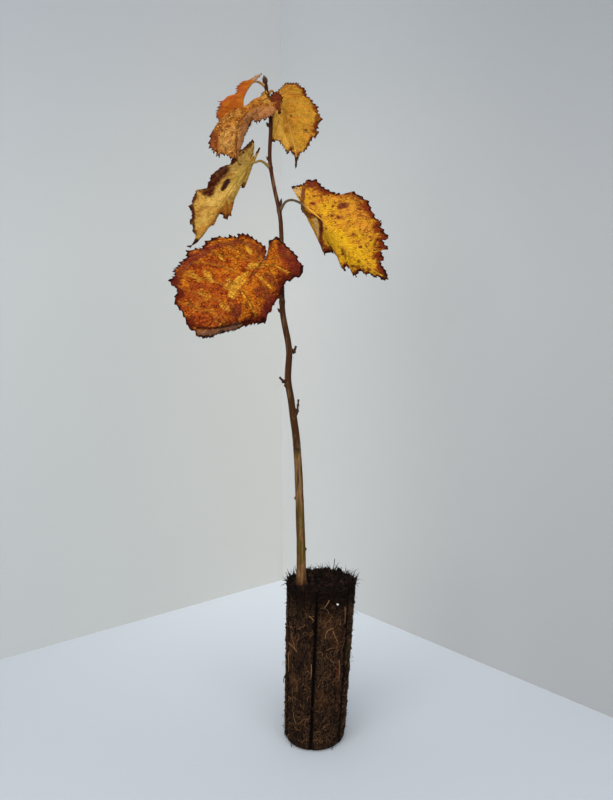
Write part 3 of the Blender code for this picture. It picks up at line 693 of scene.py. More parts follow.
def buildScatter():
    # crumbs: one rounded 20-sided lump, copied with its own size, stretch and place
    rng = np.random.default_rng(41)
    shape = bmesh.new()
    bmesh.ops.create_icosphere(shape, subdivisions=1, radius=1)
    lump = np.array([vertex.co[:] for vertex in shape.verts])
    corners = np.array([[vertex.index for vertex in face.verts] for face in shape.faces])
    shape.free()
    count = scatter["crumbs"]
    onTop = rng.random(count) < 0.42
    angle = rng.uniform(-np.pi, np.pi, count)
    up = rng.uniform(0.003, 0.119, count)
    size = rng.uniform(*scatter["crumbSize"], count) * (1 + (0.5 + 1.6 * rng.random(count) ** 4) * onTop)
    side = ballPlace(angle, up, size * 0.25)
    away = np.sqrt(rng.uniform(0.0, 0.94, count)) * 0.0245
    x, y = away * np.cos(angle) + ball["lean"], away * np.sin(angle)
    top = np.stack([x, y, topHeight(x, y) - size * 0.1], axis=-1)
    centre = np.where(onTop[:, None], top, side)
    stretch = size[:, None, None] * rng.uniform(0.6, 1.2, (count, 1, 3))
    stretch = stretch * rng.uniform(0.85, 1.15, (count, len(lump), 1))
    points = centre[:, None] + lump * stretch
    points[..., 2] = np.maximum(points[..., 2], scatter["floorGap"])
    faces = (corners + (np.arange(count) * len(lump))[:, None, None]).reshape(-1, 3)
    makePiece("peatCrumbs", points, faces, crumbLook, "peat", tone=rng.random((count, 1)) ** 2, end=0.0)

    # short fibres that stand up from the top, thickest along its rim
    count = scatter["spikes"]
    angle = rng.uniform(-np.pi, np.pi, (count, 1))
    away = np.sqrt(rng.uniform(0.25, 0.97, (count, 1))) * 0.0246
    x, y = away * np.cos(angle) + ball["lean"], away * np.sin(angle)
    t = np.linspace(0, 1, 5)
    length = rng.uniform(*scatter["spikeLength"], (count, 1))
    lean, way = rng.uniform(0.1, 1.0, (count, 1)), rng.uniform(-np.pi, np.pi, (count, 1))
    paths = np.stack([x + length * lean * np.cos(way) * t**1.5, y + length * lean * np.sin(way) * t**1.5,
                      topHeight(x, y) - 0.0006 + length * t * (1 - 0.4 * lean * t)], axis=-1)
    paths[..., 2] = np.minimum(paths[..., 2], scatter["highest"])
    radii = rng.uniform(*scatter["spikeRadius"], (count, 1)) * np.linspace(1, 0.4, 5)
    points = tubePoints(paths, radii, 4)
    faces = gridFaces(*points.shape[1:3], copies=count, closed=True)
    makePiece("topFibres", points, faces, darkRootLook, "peat", tone=rng.random((count, 1, 1)), end=0.0)

    # hairs that stand off the side, and pointed tufts round the rim: way * t plus a bend that grows with
    # t^2
    for name, sides, low, high, lift in (("fringe", 4, 0.003, 0.118, 0.0), ("tuft", 5, 0.1178, 0.1196, 0.9)):
        count = scatter[name]
        angle = rng.uniform(-np.pi, np.pi, (count, 1))
        up = rng.uniform(low, high, (count, 1))
        base = ballPlace(angle, up, -0.0007)
        out = np.stack([np.cos(angle), np.sin(angle), 0 * angle], axis=-1)[:, 0]
        way = unit(out * (1 - 0.9 * lift) + rng.normal(0, 0.5, (count, 3)) + (0, 0, lift * 1.1))
        bend = rng.normal(0, 0.45, (count, 3))
        length = rng.uniform(*scatter[name + "Length"], (count, 1, 1))
        t = np.linspace(0, 1, 6)[:, None]
        paths = base + length * (way[:, None] * t + bend[:, None] * t**2)
        radii = rng.uniform(*scatter[name + "Radius"], (count, 1)) * np.linspace(1, 0.15 if lift else 0.5, 6)
        points = tubePoints(paths, radii, sides)
        points[..., 1] = np.minimum(points[..., 1], scatter["rearmost"])
        points[..., 2] = np.clip(points[..., 2], scatter["floorGap"], scatter["highest"])
        faces = gridFaces(*points.shape[1:3], copies=count, closed=True)
        makePiece(name + "Hairs", points, faces, darkRootLook, "peat", tone=rng.random((count, 1, 1)) ** 2,
                  end=0.0)

    paths = np.array([smoothPath(stray, 12) for stray in scatter["strays"]])
    points = tubePoints(paths, np.full(paths.shape[:2], scatter["strayRadius"]) * np.linspace(1, 0.5, 12), 6)
    points[..., 2] = np.maximum(points[..., 2], scatter["floorGap"])
    faces = gridFaces(*points.shape[1:3], copies=len(paths), closed=True)
    makePiece("strayFibres", points, faces, darkRootLook, "peat", tone=0.25, end=0.0)

    # white grains: a sphere with noise on its radius
    turn, rising = np.meshgrid(np.linspace(0, 2 * np.pi, 14, endpoint=False), np.linspace(0, np.pi, 9))
    ballish = np.stack([np.sin(rising) * np.cos(turn), np.sin(rising) * np.sin(turn), np.cos(rising)],
                       axis=-1)
    grains = []
    for spot, radius in scatter["grains"]:
        x, z = onPlug([spot])[0]
        centre = ballPlace(frontAngle(x, z), z, 0.0006)
        grains.append(centre + ballish * radius * (1 + 0.25 * cloud(ballish, 0.8, 43)[..., None])
                      * (1.25, 0.9, 1.0))
    points = np.array(grains)
    faces = gridFaces(*points.shape[1:3], copies=len(grains), closed=True)
    makePiece("whiteGrain", points, faces, grainLook, "peat", tone=1.0, end=0.0)


buildScatter()
print("roots, crumbs and fibres made")


stemShape = dict(
    # x, y, z and diameter at the foot, bends and nodes
    points=[
        (-0.0095, -0.008, 0.120, 0.0068), (-0.0100, -0.008, 0.154, 0.0064), (-0.0125, -0.008, 0.218, 0.0055),
        (-0.0165, -0.008, 0.252, 0.0049), (-0.0190, -0.007, 0.269, 0.0047), (-0.0181, -0.007, 0.289, 0.0045),
        (-0.0224, -0.007, 0.314, 0.0041), (-0.0230, -0.007, 0.333, 0.0033), (-0.0238, -0.007, 0.378, 0.0029),
        (-0.0290, -0.007, 0.405, 0.0026), (-0.0310, -0.007, 0.420, 0.0026), (-0.0303, -0.007, 0.446, 0.0026),
        (-0.0338, -0.007, 0.470, 0.0023),
    ],
    rings=620, sides=30, footFlare=1.35, flareHeight=0.004, cutHeight=0.1196, tipRise=0.0003,
    swellings=[0.4675, 0.4620, 0.4520, 0.4140, 0.3850, 0.3230],  # at the leaves' nodes
    ringScar=0.2168,
    # old bud scars: turn from +X in degrees, height, how far they stand out, size, how dark
    knobs=[(0, 0.2887, 0.0011, 0.0010, 0.8), (185, 0.2644, 0.0011, 0.0010, 0.8),
           (0, 0.2464, 0.0010, 0.0008, 1.0), (-10, 0.2436, 0.0011, 0.0009, 1.0),
           (180, 0.1834, 0.0010, 0.0009, 1.0), (0, 0.1459, 0.0010, 0.0009, 1.0),
           (95, 0.2120, 0.0006, 0.0008, 0.8), (60, 0.3080, 0.0005, 0.0007, 0.8)],
    lenticels=60,
)


def stemRadius(height):
    # half the diameter at a height, with the flare of the foot
    z = [point[2] for point in stemShape["points"]]
    flare = 1 + (stemShape["footFlare"] - 1) * np.exp(-(height - z[0]) / stemShape["flareHeight"])
    return np.interp(height, z, [point[3] / 2 for point in stemShape["points"]]) * flare


def stemCentre(height):
    # the middle of the stem at a height
    x, y, z, _ = np.array(stemShape["points"]).T
    return np.array([np.interp(height, z, axis) for axis in (x, y, z)])


def buildStem():
    # rings round a smooth path, each point pushed in or out by wrinkles, swellings, scars, knobs and
    # lenticels
    path = smoothPath([point[:3] for point in stemShape["points"]], stemShape["rings"])
    z = path[:, 2:]
    radius = stemRadius(path[:, 2])[:, None]
    turn = np.linspace(0, 2 * np.pi, stemShape["sides"], endpoint=False)[None, :]
    skin = np.stack([0.003 * np.cos(turn) + 0 * z, 0.003 * np.sin(turn) + 0 * z, z + 0 * turn], axis=-1)
    grow = 1 + 0.016 * cloud(skin * (1, 1, 0.1), 0.0007, 51) + 0.03 * cloud(skin * (1, 1, 0.35), 0.003, 52)
    for node in stemShape["swellings"]:
        grow = grow + 0.20 * np.exp(-((z - node + 0.0005) / 0.0018) ** 2)
    offScar = z - stemShape["ringScar"] - 0.0003 * np.sin(turn * 2)
    grow = grow - 0.045 * np.exp(-(offScar / 0.00035) ** 2)
    grow = grow + 0.03 * np.exp(-((offScar - 0.0012) / 0.0006) ** 2)
    scar = 0.85 * np.exp(-(offScar / 0.0005) ** 2) + 0.75 * np.exp(-((offScar - 0.0020) / 0.0008) ** 2)
    push = 0 * skin[..., 0]
    for knobTurn, height, out, size, shade in stemShape["knobs"]:
        off = (turn - math.radians(knobTurn) + np.pi) % (2 * np.pi) - np.pi
        near = np.exp(-(off * radius / size) ** 2 - ((z - height) / size) ** 2)
        push, scar = push + out * near, np.maximum(scar, shade * ease(0.15, 0.6, near))
    rng = np.random.default_rng(53)
    count = stemShape["lenticels"]
    spotTurn, spotHeight = rng.uniform(0, 2 * np.pi, count), 0.124 + 0.2 * rng.random(count) ** 1.3
    spotSize = rng.uniform(0.00022, 0.00042, count)
    off = (turn[..., None] - spotTurn + np.pi) % (2 * np.pi) - np.pi
    above = (z[..., None] - spotHeight) / spotSize / 1.7
    spots = np.exp(-(off * radius[..., None] / spotSize) ** 2 - above**2).max(axis=-1)
    push = push + 0.00012 * spots
    ahead = unit(np.gradient(path, axis=0))
    a = unit(np.cross([0.0, 1.0, 0.0], ahead))
    b = np.cross(ahead, a)
    ring = a[:, None] * np.cos(turn)[..., None] + b[:, None] * np.sin(turn)[..., None]
    points = path[:, None] + ring * (radius * grow + push)[..., None]
    lowest = path[0] + (ring[0] * (radius[0] * grow[0] + push[0])[..., None])
    lowest[:, 2] = stemShape["cutHeight"]
    foot = np.broadcast_to(path[0] * (1, 1, 0) + (0, 0, stemShape["cutHeight"]), lowest.shape)
    tip = np.broadcast_to(path[-1] + (0, 0, stemShape["tipRise"]), lowest.shape)
    points = np.concatenate([foot[None], lowest[None], points, tip[None]])
    ends = np.zeros((2, points.shape[1]))
    scar, spots = (np.concatenate([ends, values, ends[:1]]) for values in (scar, spots))
    faces = gridFaces(*points.shape[:2], closed=True)
    makePiece("stemBark", points, faces, barkLook, "bark", ["stem"], scar=np.clip(scar, 0, 1),
              lenticel=np.clip(spots, 0, 1) * 0.5, around=np.cos(turn) + 0 * points[..., 0])


buildStem()

buds = dict(
    # centre, direction, length, width
    places=[
        ((-0.0341, -0.0070, 0.4715), (-0.25, 0.0, 1.0), 0.0064, 0.0040),
        ((-0.0322, -0.0070, 0.4420), (-0.7, 0.0, 1.0), 0.0042, 0.0024),
        ((-0.0322, -0.0070, 0.4195), (-0.8, 0.0, 1.0), 0.0042, 0.0024),
        ((-0.0236, -0.0066, 0.3905), (0.2, 0.0, 1.0), 0.0060, 0.0023),
        ((-0.0248, -0.0080, 0.3165), (-0.8, -0.2, 1.0), 0.0044, 0.0025),
    ],
    rings=26, sides=18, scales=4.5,
)


def buildBuds():
    # an egg that narrows to its tip, with overlapping scales: a saw that climbs round it and steps down
    u = np.linspace(0, 1, buds["rings"])[:, None]
    turn = np.linspace(0, 2 * np.pi, buds["sides"], endpoint=False)[None, :]
    scale = (u * buds["scales"] + 0.5 * np.cos(turn * 2 + u * 9)) % 1
    slim = np.sin(np.pi * u**0.85) ** 0.8 * (1 - 0.30 * u) * (1 + 0.10 * (1 - scale))
    slim = slim * (u > 0) * (u < 1)
    points = []
    for centre, way, length, width in buds["places"]:
        way = unit(np.array(way))
        a = unit(np.cross(way, [0.0, 1.0, 0.0]))
        b = np.cross(way, a)
        ring = a * np.cos(turn)[..., None] + b * np.sin(turn)[..., None]
        points.append(centre + way * ((u - 0.5) * length)[..., None] + ring * (slim * width / 2)[..., None])
    points = np.array(points)
    faces = gridFaces(*points.shape[1:3], copies=len(points), closed=True)
    makePiece("buds", points, faces, budLook, "bark", tone=0.25 + 0.6 * scale, end=ease(0.55, 1.0, u) * 0.8)


buildBuds()

spurShape = dict(
    # height on the stem, turn from +X, rise, length, diameter, and its beads as (share, size)
    places={
        "spur_low": (0.2450, -20, 84, 0.0095, 0.0017, [(0.15, 0.7), (0.55, 0.45), (0.93, 0.6)]),
        "spur_middle": (0.2667, 190, 46, 0.0045, 0.0022, [(0.1, 0.5), (0.95, 0.35)]),
        "spur_high": (0.2875, -5, 70, 0.0046, 0.0022, [(0.1, 0.5), (0.95, 0.3)]),
    },
    rings=34, sides=14,
)


def buildSpurs():
    # a short tapering shoot: radius * (1 + beads), with splinters of noise at its broken end
    for name, (height, turn, up, length, width, beads) in spurShape["places"].items():
        turn, up = math.radians(turn), math.radians(up)
        run = length * np.array([math.cos(turn) * math.cos(up), math.sin(turn) * math.cos(up), math.sin(up)])
        out = np.array([math.cos(turn), math.sin(turn), 0])
        start = stemCentre(height) + out * (stemRadius(height) + 0.0001 + width / 2 * math.sin(up))
        share = np.linspace(-0.12, 1, spurShape["rings"])
        path = start + share[:, None] * run
        path[share < 0.1] -= out * (0.1 - share[share < 0.1, None]) * 0.004
        radius = width / 2 * (1 - 0.42 * share)
        for at, size in beads:
            radius = radius * (1 + size * np.exp(-((share - at) / 0.09) ** 2))
        points = tubePoints(path, radius, spurShape["sides"])
        middle = np.concatenate([path[:1], path, path[-1:]])[:, None]
        points = middle + (points - middle) * (1 + 0.22 * cloud(points, 0.0007, 61))[..., None]
        faces = gridFaces(*points.shape[:2], closed=True)
        makePiece(name.replace("_l", "L").replace("_m", "M").replace("_h", "H"), points, faces, deadLook,
                  "dead_wood", [name], tone=0.4 + 0.4 * cloud(points, 0.002, 62), end=0.0)


buildSpurs()
print("stem, buds and spurs made")


bladeRule = dict(
    # half a blade as shares of its midrib: sinus, lobe, full side, shoulder, drip tip
    halfOutline=[
        (0, 0), (-0.05, 0.03), (-0.12, 0.08), (-0.155, 0.16), (-0.12, 0.27), (0, 0.38), (0.14, 0.46),
        (0.33, 0.50), (0.54, 0.50), (0.72, 0.42), (0.85, 0.26), (0.93, 0.09), (1.0, 0.0),
    ],
    veinSlant=0.45, veins=10, toothSize=0.0019, smallTooth=0.9, teethPerVein=4, leastWidth=0.010,
    rows=360, columns=30, thickness=0.00030, marginThickness=0.00016, veinRidge=0.00016,
    facing=np.array([0.0, -1.0, 0.0]), veinBow=0.045,
    petioleRadii=[0.00092, 0.00078, 0.00024, 0.00010], stalkTip=(70, 38, 24),
)

# Each leaf: its CAD node and slot, where it leaves the stem (height, turn from +X), its petiole, the
# spots of its midrib and the depths, y, of that in millimetres. Per half its width, the reach of its
# lobe, and in degrees the fold off its face and the curl outwards, at even stations from petiole to tip,
# and the spots of its rim. Then its quilting, its looks and, for each mask, its blotches: half width in
# pixels, strength and the spots of its line.
leaves = dict(
    tipLeft=dict(
        replaces="leaf_tip_left", slot="orange_leaf", node=(0.4675, 180),
        petiole=[(-0.0385, -0.0085, 0.4695)],
        rib=[(254, 82), (250, 86.5), (246, 93), (243.5, 100), (243, 108), (238, 114), (230, 119),
            (222, 123.7)],
        depths=[-9, -11, -13, -14, -14, -14],
        left=dict(width=[0.25, 0.3, 0.4, 0.4, 0.4, 0.3], lobe=0.6, fold=[-125], curl=[-25]),
        right=dict(width=[0.6, 0.62, 0.65, 0.65, 0.7, 0.8], lobe=2.0, fold=[-20, -15, -10, -10, -10, -10],
            rim=[(254, 82), (257, 79.5), (260.5, 74.5), (256, 76), (252, 79), (249.5, 80.5), (246, 83),
            (243, 81.7), (240, 84.5), (237.3, 89), (236, 94), (232, 97.3), (226, 99.7), (221, 101),
            (220, 106), (219, 110), (216.3, 113.2), (218, 117.5), (219.3, 121.5), (222, 123.7)]),
        quilt=0.00035, wave=0.0007, seed=101, stalk=((150, 108, 60), (120, 84, 48)),
        colours=dict(Face=(170, 93, 13), Warm=(157, 77, 10), Pale=(184, 110, 26), Vein=(166, 88, 24),
            Margin=(140, 62, 26), Edge=(92, 40, 24), Blush=(158, 72, 26), Rose=(150, 124, 96)),
        values={"Vein Strength": 0.2, "Margin Reach": 0.0018, "Dots": 0.3, "Mosaic": 0.35},
        blotches=dict(
            warm=[(7, 0.9, [(227, 115), (236, 108)])],
            blush=[(4, 0.6, [(240, 86), (242, 91)]), (1.6, 0.8, [(222, 101.5), (228, 99.5), (234, 97)]),
                (1.5, 0.7, [(219, 106), (217, 114), (220, 121)])],
            rose=[(2.4, 0.95, [(260, 75), (254.5, 78.5)])],
            pale=[(3, 0.5, [(240, 100), (241, 105)])],
        ),
    ),
    tipFront=dict(
        replaces="leaf_tip_front", slot="orange_leaf", node=(0.4520, 260),
        petiole=[(-0.0312, -0.0118, 0.4550)],
        rib=[(268, 98), (262, 101), (254, 107), (247, 112.5), (241, 119), (237.5, 128), (236.5, 140),
            (237, 152), (238, 163.7)],
        depths=[-13, -17, -20, -21, -21, -20, -17],
        left=dict(width=[0.6, 0.5, 0.4, 0.35, 0.4, 0.4], lobe=0.9, fold=[-5, -25, -45, -46, -40, -34],
            rim=[(268, 98), (273, 93.5), (278, 93), (281, 97), (281, 103), (279.5, 107), (279.5, 111.5),
            (276, 110), (270, 117), (266, 119.5), (262, 119), (257, 120.5), (255, 122), (251.5, 120),
            (248, 126), (245, 132), (243, 138), (241, 145), (239.5, 151), (238.5, 158), (238, 163.7)]),
        right=dict(width=[0.6, 0.8, 0.8, 0.95, 1.2, 1.35], lobe=0.8, fold=[-20, -12, -6, -4, -4, -4],
            rim=[(268, 98), (266, 92), (263, 93.5), (261, 98.5), (256, 100), (251, 104), (246, 108.5),
            (241, 112), (235, 117.5), (229, 120.5), (222, 123.7), (215, 128), (211, 134), (210.3, 141),
            (211.5, 148), (213.3, 152.5), (217, 151.5), (219, 157.5), (220, 152), (226, 154.5),
            (231, 158.5), (235, 159), (237, 160), (238, 163.7)]),
        quilt=0.0010, wave=0.0009, seed=102, relief=0.0005, stalk=((104, 52, 30), (146, 86, 34)),
        colours=dict(Face=(196, 122, 46), Warm=(188, 114, 24), Pale=(255, 196, 104), Vein=(150, 84, 34),
            Margin=(110, 56, 24), Edge=(48, 20, 14), Blush=(118, 46, 26), Rose=(186, 122, 72),
            Green=(196, 142, 58)),
        values={"Vein Strength": 0.3, "Margin Reach": 0.0024, "Dots": 0.4, "Mosaic": 1.0, "Cells": 540.0},
        blotches=dict(
            blush=[(4.6, 1, [(275, 98.5), (279, 96)]), (2.8, 0.95, [(277, 105), (279, 110)]),
                (3.8, 0.75, [(213.5, 136), (214, 147)])],
            rose=[(5.2, 1, [(256, 113.5), (266, 111.5), (272, 111.5)]), (3, 0.95, [(256, 118), (263, 117)]),
                (3.4, 1, [(248, 115), (244, 128), (241, 142), (239, 156)])],
            green=[(4, 1, [(265, 92), (266, 100)])],
            pale=[(6.5, 0.6, [(234, 131), (226, 138), (227, 147)]), (3, 0.8, [(229.5, 146)])],
            warm=[(4, 0.9, [(245, 110), (258, 102.5)]), (3, 0.7, [(230, 121), (240, 115)])],
            dark=[(1.5, 1, [(218.9, 155.8)]), (1.2, 0.8, [(213, 151.5)]),
                (0.8, 0.55, [(248, 111.5), (241, 119), (237, 128), (236.3, 140), (237, 158)]),
                (1.2, 0.6, [(268, 97), (272, 101)])],
        ),
    ),
    tipRight=dict(
        replaces="leaf_tip_right", slot="gold_leaf", node=(0.4620, 60),
        petiole=[(-0.0295, -0.0030, 0.4655)],
        rib=[(277, 98), (280, 103), (283.5, 110), (287, 119), (290, 128), (293, 139), (295.5, 150),
            (296.5, 158), (295.3, 169)],
        depths=[0, 1, 1, 2, 3],
        left=dict(width=[0.85, 0.95, 0.95, 0.9, 0.4, 0.2], lobe=0.7, fold=[0], toothSize=0.0014,
            rim=[(277, 98), (278, 92), (281, 88), (285, 84.5), (291, 83), (296, 83.8), (301, 86.5),
            (306, 90.5), (303.5, 93), (307, 97), (311.5, 99.5), (313, 103.5), (317, 108), (319, 114),
            (321.3, 120), (318, 121.5), (318.3, 127.5), (316, 130.5), (317.7, 133.3), (313, 137.5),
            (310.5, 142), (308.5, 146), (304, 150), (300.5, 153.5), (298.3, 157), (297, 163),
            (295.3, 169)]),
        right=dict(width=[0.5, 0.5, 0.5, 0.45, 0.3, 0.2], lobe=0.8, fold=[-14, -13, -12, -10, -10, -10],
            toothSize=0.0012,
            rim=[(277, 98), (274, 99), (272, 104), (271.3, 112), (271, 122), (271, 132), (272, 139),
            (273.5, 142.3), (277, 140.5), (280.5, 141), (283, 146.5), (287, 151), (288, 154.3),
            (290, 150.5), (292.5, 152.5), (295, 157), (295.5, 162), (295.3, 169)]),
        quilt=0.0009, wave=0.0008, seed=103, relief=0.0005, stalk=((128, 92, 44), (178, 124, 40)),
        colours=dict(Face=(202, 144, 42), Warm=(196, 130, 38), Pale=(240, 184, 68), Vein=(222, 172, 88),
            Margin=(104, 40, 10), Edge=(46, 14, 6), Blush=(96, 32, 8), Green=(242, 180, 72)),
        values={"Vein Strength": 0.7, "Margin Reach": 0.0028, "Dots": 0.35, "Mosaic": 0.52, "Cells": 520.0},
        blotches=dict(
            # the green and pale marks along the left strip, with its Green colour, are partly the strip's own
            # paler colour and partly painted light against the shadow the front leaf casts on it
            green=[(6, 0.8, [(276, 112), (276, 128), (283, 146)])],
            pale=[(6, 0.7, [(276, 112), (276, 128), (283, 146)])],
            warm=[(5, 0.7, [(306, 128), (308, 140)]), (3, 0.6, [(283, 87), (297, 86)])],
            blush=[(2.4, 0.8, [(317.5, 117), (316.5, 128)]), (2, 0.7, [(304, 91.5), (306, 96)]),
                (1.8, 0.6, [(311, 101), (315, 107)]), (2, 0.5, [(312, 137), (308.5, 145)])],
            dark=[(1.1, 0.7, [(291, 116)]), (1.1, 0.8, [(306, 130)]), (1.5, 0.95, [(274, 141)]),
                (1.4, 0.9, [(288, 153)]), (1.9, 0.95, [(296.9, 158.5), (295.6, 168.5)]),
                (0.7, 0.5, [(279, 101), (285, 113), (288, 122)]), (1.1, 0.7, [(320.5, 120)])],
        ),
    ),
    middleLeft=dict(
        replaces="leaf_middle_left", slot="straw_leaf", node=(0.4140, 180),
        petiole=[(-0.0370, -0.0070, 0.4180), (-0.0410, -0.0075, 0.4170)],
        rib=[(251, 163), (244, 171), (236, 182), (228, 193), (221, 205), (214, 216), (206, 228), (198, 238),
            (192, 245), (187, 246.5)],
        depths=[-8, -10, -12, -12, -11, -10, -8],
        left=dict(width=[0.40, 0.35, 0.33, 0.33, 0.30, 0.30], lobe=1.3, fold=[-44, -36, -26, -24, -34, -46],
            rim=[(251, 163), (254, 156.5), (257, 151.5), (259.7, 149), (256.5, 154.5), (253, 161),
            (247, 170), (247, 174), (246, 180), (244.3, 187), (240, 184.5), (238, 188), (237, 193.5),
            (234.5, 199.5), (232.5, 207), (230.3, 213.5), (227, 216), (225, 219.5), (221.5, 214.5),
            (219, 212), (217, 217), (213.5, 225.5), (209, 225.3), (205.5, 231), (200, 238.5), (195, 243.5),
            (190, 247), (187, 246.5)]),
        right=dict(width=[0.75, 0.65, 0.65, 0.72, 0.65, 0.5], lobe=1.6, fold=[-45, -45, -48, -30, -35, -50],
            toothSize=0.0013,
            rim=[(251, 163), (252, 156), (254, 148), (254.7, 142), (253, 140.3), (250, 143.5), (245, 148),
            (240, 150.5), (236, 157), (232, 161.5), (229, 167), (225, 169.5), (221, 168), (216.5, 172),
            (211.5, 176), (211, 181), (208.5, 185), (209, 189), (206.5, 193.5), (202, 193), (198, 190),
            (196, 194), (193.5, 198), (193.3, 204), (189.7, 206.5), (192.7, 210), (193, 217), (191, 222),
            (193.5, 227), (193.3, 232.5), (196, 234), (196.3, 239), (194, 243), (191, 246.5),
            (187, 246.5)]),
        quilt=0.0007, wave=0.0010, seed=104, stalk=((120, 96, 52), (152, 118, 50)),
        colours=dict(Face=(200, 155, 66), Warm=(182, 132, 52), Pale=(226, 184, 90), Rose=(158, 92, 28),
            Vein=(150, 112, 42), Margin=(112, 58, 18), Edge=(48, 18, 8), Blush=(62, 14, 4),
            Green=(152, 132, 44)),
        values={"Vein Strength": 0.45, "Margin Reach": 0.0035, "Dots": 0.6, "Mosaic": 0.62, "Cells": 480.0},
        blotches=dict(
            blush=[(7, 1, [(222, 168.5), (213, 178.5), (208, 190)]), (4.5, 1, [(223, 170), (216, 174)]),
                (1.6, 0.9, [(206, 193), (200, 191.5)]), (2, 0.9, [(232, 163), (236, 158)]),
                (1.6, 0.7, [(222.5, 214.5), (225, 218.5)]),
                (2.7, 0.95, [(194, 193), (192, 204), (191.5, 215), (193, 231)])],
            dark=[(2.5, 1, [(228, 181), (222.5, 189)]), (1.1, 0.8, [(224.5, 172.5)]),
                (1.2, 0.8, [(240, 164.5)]), (1.1, 0.8, [(206, 198)]), (1.1, 0.8, [(243.5, 152.5)]),
                (2.4, 0.95, [(196.5, 241), (192, 246), (187, 246.5)]), (1.7, 0.9, [(253.6, 141.5)]),
                (1.3, 0.9, [(259.3, 149.3), (255.5, 153)])],
            rose=[(1.3, 0.9, [(226.5, 202)]), (4.2, 1, [(221, 212), (230, 208)]),
                (3.6, 0.7, [(199, 232), (204, 229)]), (2.4, 0.9, [(214, 221), (211, 225)]),
                (1.5, 0.8, [(219, 212), (214, 222)])],
            # the last pale stroke, over the upper lobe, is partly the lobe's own paler colour and partly
            # painted light against the shadow the front leaf casts there
            pale=[(6, 0.9, [(212, 200), (231, 186)]), (3.5, 0.5, [(205, 213), (203, 222)]),
                (3.5, 0.9, [(244, 174), (240, 184), (236, 195)]),
                (5.5, 1, [(251, 144), (245, 157), (237, 169)])],
            green=[(2.6, 0.6, [(248, 165), (243, 171), (232, 184)])],
        ),
    ),
    middleRight=dict(
        replaces="leaf_middle_right", slot="gold_leaf", node=(0.3850, -10),
        petiole=[(-0.0202, -0.0078, 0.3905), (-0.0165, -0.0080, 0.3917), (-0.0130, -0.0080, 0.3910)],
        rib=[(302, 204), (311, 211), (322, 220), (334, 233), (345, 245.5), (358, 256.5), (372, 269),
            (388.5, 279.5)],
        depths=[-8, -10, -12, -12, -11, -8],
        left=dict(width=[0.5, 0.54, 0.78, 0.74, 0.66, 0.6], lobe=1.2, fold=[0], toothSize=0.0014,
            rim=[(302, 204), (301.5, 200), (298, 195), (294.5, 190), (291, 186.7), (296, 185.5), (303, 185),
            (305.5, 181.5), (308, 178.5), (310.5, 180.3), (315, 179.5), (318.5, 184), (325, 188),
            (331, 191.5), (336, 194.3), (341, 194.7), (347, 193.5), (353.5, 192), (358, 194.5), (363, 199),
            (368.5, 203), (371, 208.5), (373, 213), (376, 219.5), (382.5, 223.3), (380, 226), (382.5, 230),
            (384.5, 234.5), (389, 238.3), (382.5, 240.5), (384, 244), (387.5, 248.5), (380.5, 250),
            (382, 254), (383.5, 259.5), (380.5, 261), (382, 265.5), (385, 270), (386.5, 274.5),
            (388.5, 279.5)]),
        right=dict(width=[0.5, 0.5, 0.46, 0.44, 0.44, 0.44], lobe=0.8, fold=[-60, -45, -26, -20, -18, -18],
            rim=[(302, 204), (301, 209), (304.5, 213.5), (309, 215.5), (312, 216.5), (315, 223.5),
            (318, 233), (320, 242), (322, 249), (325, 254.3), (328.5, 251), (333, 251), (338, 257.5),
            (341, 266), (344.3, 271.5), (346.5, 266.5), (349, 267.5), (352, 272.5), (356, 277),
            (358, 272.5), (361, 270), (364, 273), (366.5, 276), (368.5, 273), (372, 275), (375.5, 277.7),
            (378, 276), (382, 279), (388.5, 279.5)]),
        quilt=0.0005, wave=0.0012, seed=105, stalk=((84, 66, 50), (214, 156, 40)),
        colours=dict(Face=(220, 160, 30), Warm=(214, 142, 40), Pale=(240, 184, 26), Vein=(226, 174, 46),
            Margin=(112, 42, 12), Edge=(46, 14, 6), Blush=(104, 40, 22), Rose=(188, 150, 96)),
        values={"Vein Strength": 0.55, "Margin Reach": 0.0068, "Dots": 1.0, "Mosaic": 0.75},
        blotches=dict(
            pale=[(9, 0.95, [(336, 238), (345, 248), (357, 259)]), (5, 0.7, [(327, 225), (330, 240)])],
            warm=[(9, 0.9, [(345, 201), (361, 211), (370, 228)]), (5, 0.7, [(318, 192), (333, 200)])],
            blush=[(3, 1, [(340, 206.5), (346, 205)]), (2, 0.7, [(342.5, 250), (345.5, 256)]),
                (1.9, 0.6, [(311, 203.5)]), (4.5, 0.9, [(307, 183.5), (314, 184)]),
                (3.6, 0.8, [(379, 261), (383, 270)]), (3.5, 0.6, [(352, 196), (360, 200)]),
                (2, 0.9, [(302.3, 203.5), (303.2, 196), (304, 187)]),
                (2.2, 1, [(312, 214.5), (319.3, 216.5), (321, 224), (320.8, 236), (321, 246)]),
                (2.4, 0.9, [(302, 205), (304, 211.5), (309, 215), (314, 216)]), (1.8, 1, [(312.5, 203.5)]),
                (1.5, 1, [(332, 216)]), (1.8, 1, [(338.5, 217.5)]), (1.5, 1, [(326.5, 228.5)]),
                (1.2, 1, [(353.5, 234)]), (1.6, 0.5, [(358, 208.5)]), (1.8, 1, [(343, 254)]),
                (1.6, 0.45, [(354, 266)]), (1.1, 1, [(370, 237)]), (1.1, 1, [(349, 221)]),
                (1.3, 1, [(333, 206)]), (1.2, 1, [(361, 247)])],
            dark=[(0.8, 0.5, [(319.3, 216.5), (321, 224), (320.8, 236)]), (4, 0.85, [(386.5, 277)]),
                (1, 0.7, [(344, 271)]), (1, 0.7, [(356, 276)]), (1.2, 0.7, [(325, 253.5)])],
            rose=[(3, 0.95, [(296, 189), (300.5, 194)]),
                (2.2, 0.95, [(315, 219.5), (317.5, 228), (319, 236)])],
        ),
    ),
    lowFront=dict(
        replaces="leaf_low_front", slot="rust_leaf", node=(0.3230, 262),
        petiole=[(-0.0265, -0.0125, 0.3330), (-0.0305, -0.0170, 0.3450)],
